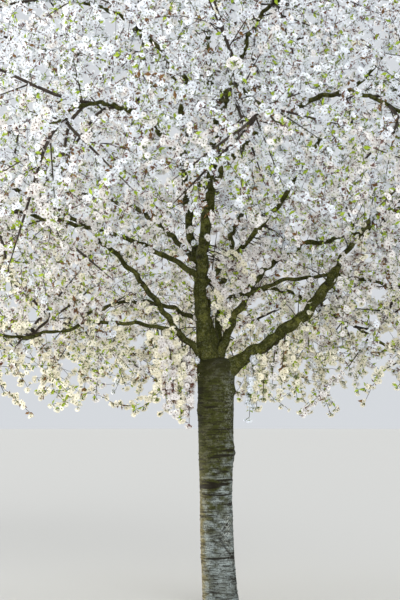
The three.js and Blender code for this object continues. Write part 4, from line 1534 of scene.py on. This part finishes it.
class CHERRY_OT_stage(bpy.types.Operator):
    """The plain floor, the soft lights and the camera"""
    bl_idname = "cherry.stage"
    bl_label = "Stage"

    def execute(self, context):
        scene, studio = context.scene, context.scene.cherry_studio
        material, tree = new_material("painted_studio_floor")
        shader = add_node(tree, "ShaderNodeBsdfPrincipled", {
            "Base Color": coloured(context, "floor")[0], "Roughness": 0.85,
            "Specular IOR Level": 0.2})
        add_node(tree, "ShaderNodeOutputMaterial", {"Surface": shader})
        floor = new_piece("floor", *floor_mesh(), material)
        world = bpy.data.worlds.new("studio_sky")
        world.use_nodes = True
        sky = world.node_tree.nodes["Background"].inputs
        sky["Color"].default_value = (*linear(SKY_COLOUR), 1)
        sky["Strength"].default_value = studio.sky
        scene.world = world
        scene.view_settings.view_transform = "Standard"
        add_sun("key", KEY_PLACE, linear(KEY_WARMTH), studio.key, KEY_SOFTNESS)
        add_sun("fill", FILL_PLACE, (1, 1, 1), studio.fill, FILL_SOFTNESS)
        camera = bpy.data.objects.new("camera", bpy.data.cameras.new("camera"))
        camera.data.lens = CAMERA_LENS
        camera.data.clip_end = CAMERA_REACH
        camera.location = CAMERA_PLACE
        camera.rotation_euler = (CAMERA_PITCH, 0, 0)
        scene.collection.objects.link(camera)
        scene.camera = camera
        return {"FINISHED"}


# The growth, kept once it has been worked out
GROWTH = {}


def tree_growth():
    """The tree's growth, worked out once."""
    if "tree" not in GROWTH:
        GROWTH["tree"] = grow_tree()
    return GROWTH["tree"]


def tree_flowers(context):
    """The flowers of the whole tree, worked out once."""
    if "flowers" not in GROWTH:
        GROWTH["flowers"] = grow_flowers(
            tree_growth().bearers, *sized(context, "cluster_gap", "stalk_length"))
    return GROWTH["flowers"]


class CHERRY_PT_tree(bpy.types.Panel):
    """The tree's pieces, sizes, colours and lights"""
    bl_idname = "CHERRY_PT_tree"
    bl_label = "Cherry Tree"
    bl_space_type = "VIEW_3D"
    bl_region_type = "UI"
    bl_category = "Cherry Tree"

    def draw(self, context):
        for operator in OPERATORS:
            self.layout.operator(operator.bl_idname)
        for name, group in GROUPS.items():
            box = self.layout.box()
            for key in group.__annotations__:
                box.prop(getattr(context.scene, name), key)


GROUPS = {
    "cherry_sizes": CherrySizes, "cherry_colours": CherryColours, "cherry_studio": CherryStudio}
OPERATORS = (
    CHERRY_OT_trunk, CHERRY_OT_boughs, CHERRY_OT_twigs, CHERRY_OT_petals, CHERRY_OT_calyces,
    CHERRY_OT_leaves, CHERRY_OT_stage)
CLASSES = (*GROUPS.values(), *OPERATORS, CHERRY_PT_tree)


def register():
    for known in CLASSES:
        bpy.utils.register_class(known)
    for key, group in GROUPS.items():
        setattr(bpy.types.Scene, key, PointerProperty(type=group))


def unregister():
    for key in GROUPS:
        delattr(bpy.types.Scene, key)
    for known in reversed(CLASSES):
        bpy.utils.unregister_class(known)


def main():
    """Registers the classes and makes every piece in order."""
    register()
    bpy.ops.cherry.trunk()
    bpy.ops.cherry.boughs()
    bpy.ops.cherry.twigs()
    bpy.ops.cherry.petals()
    bpy.ops.cherry.calyces()
    bpy.ops.cherry.leaves()
    bpy.ops.cherry.stage()


if __name__ == "__main__":
    main()
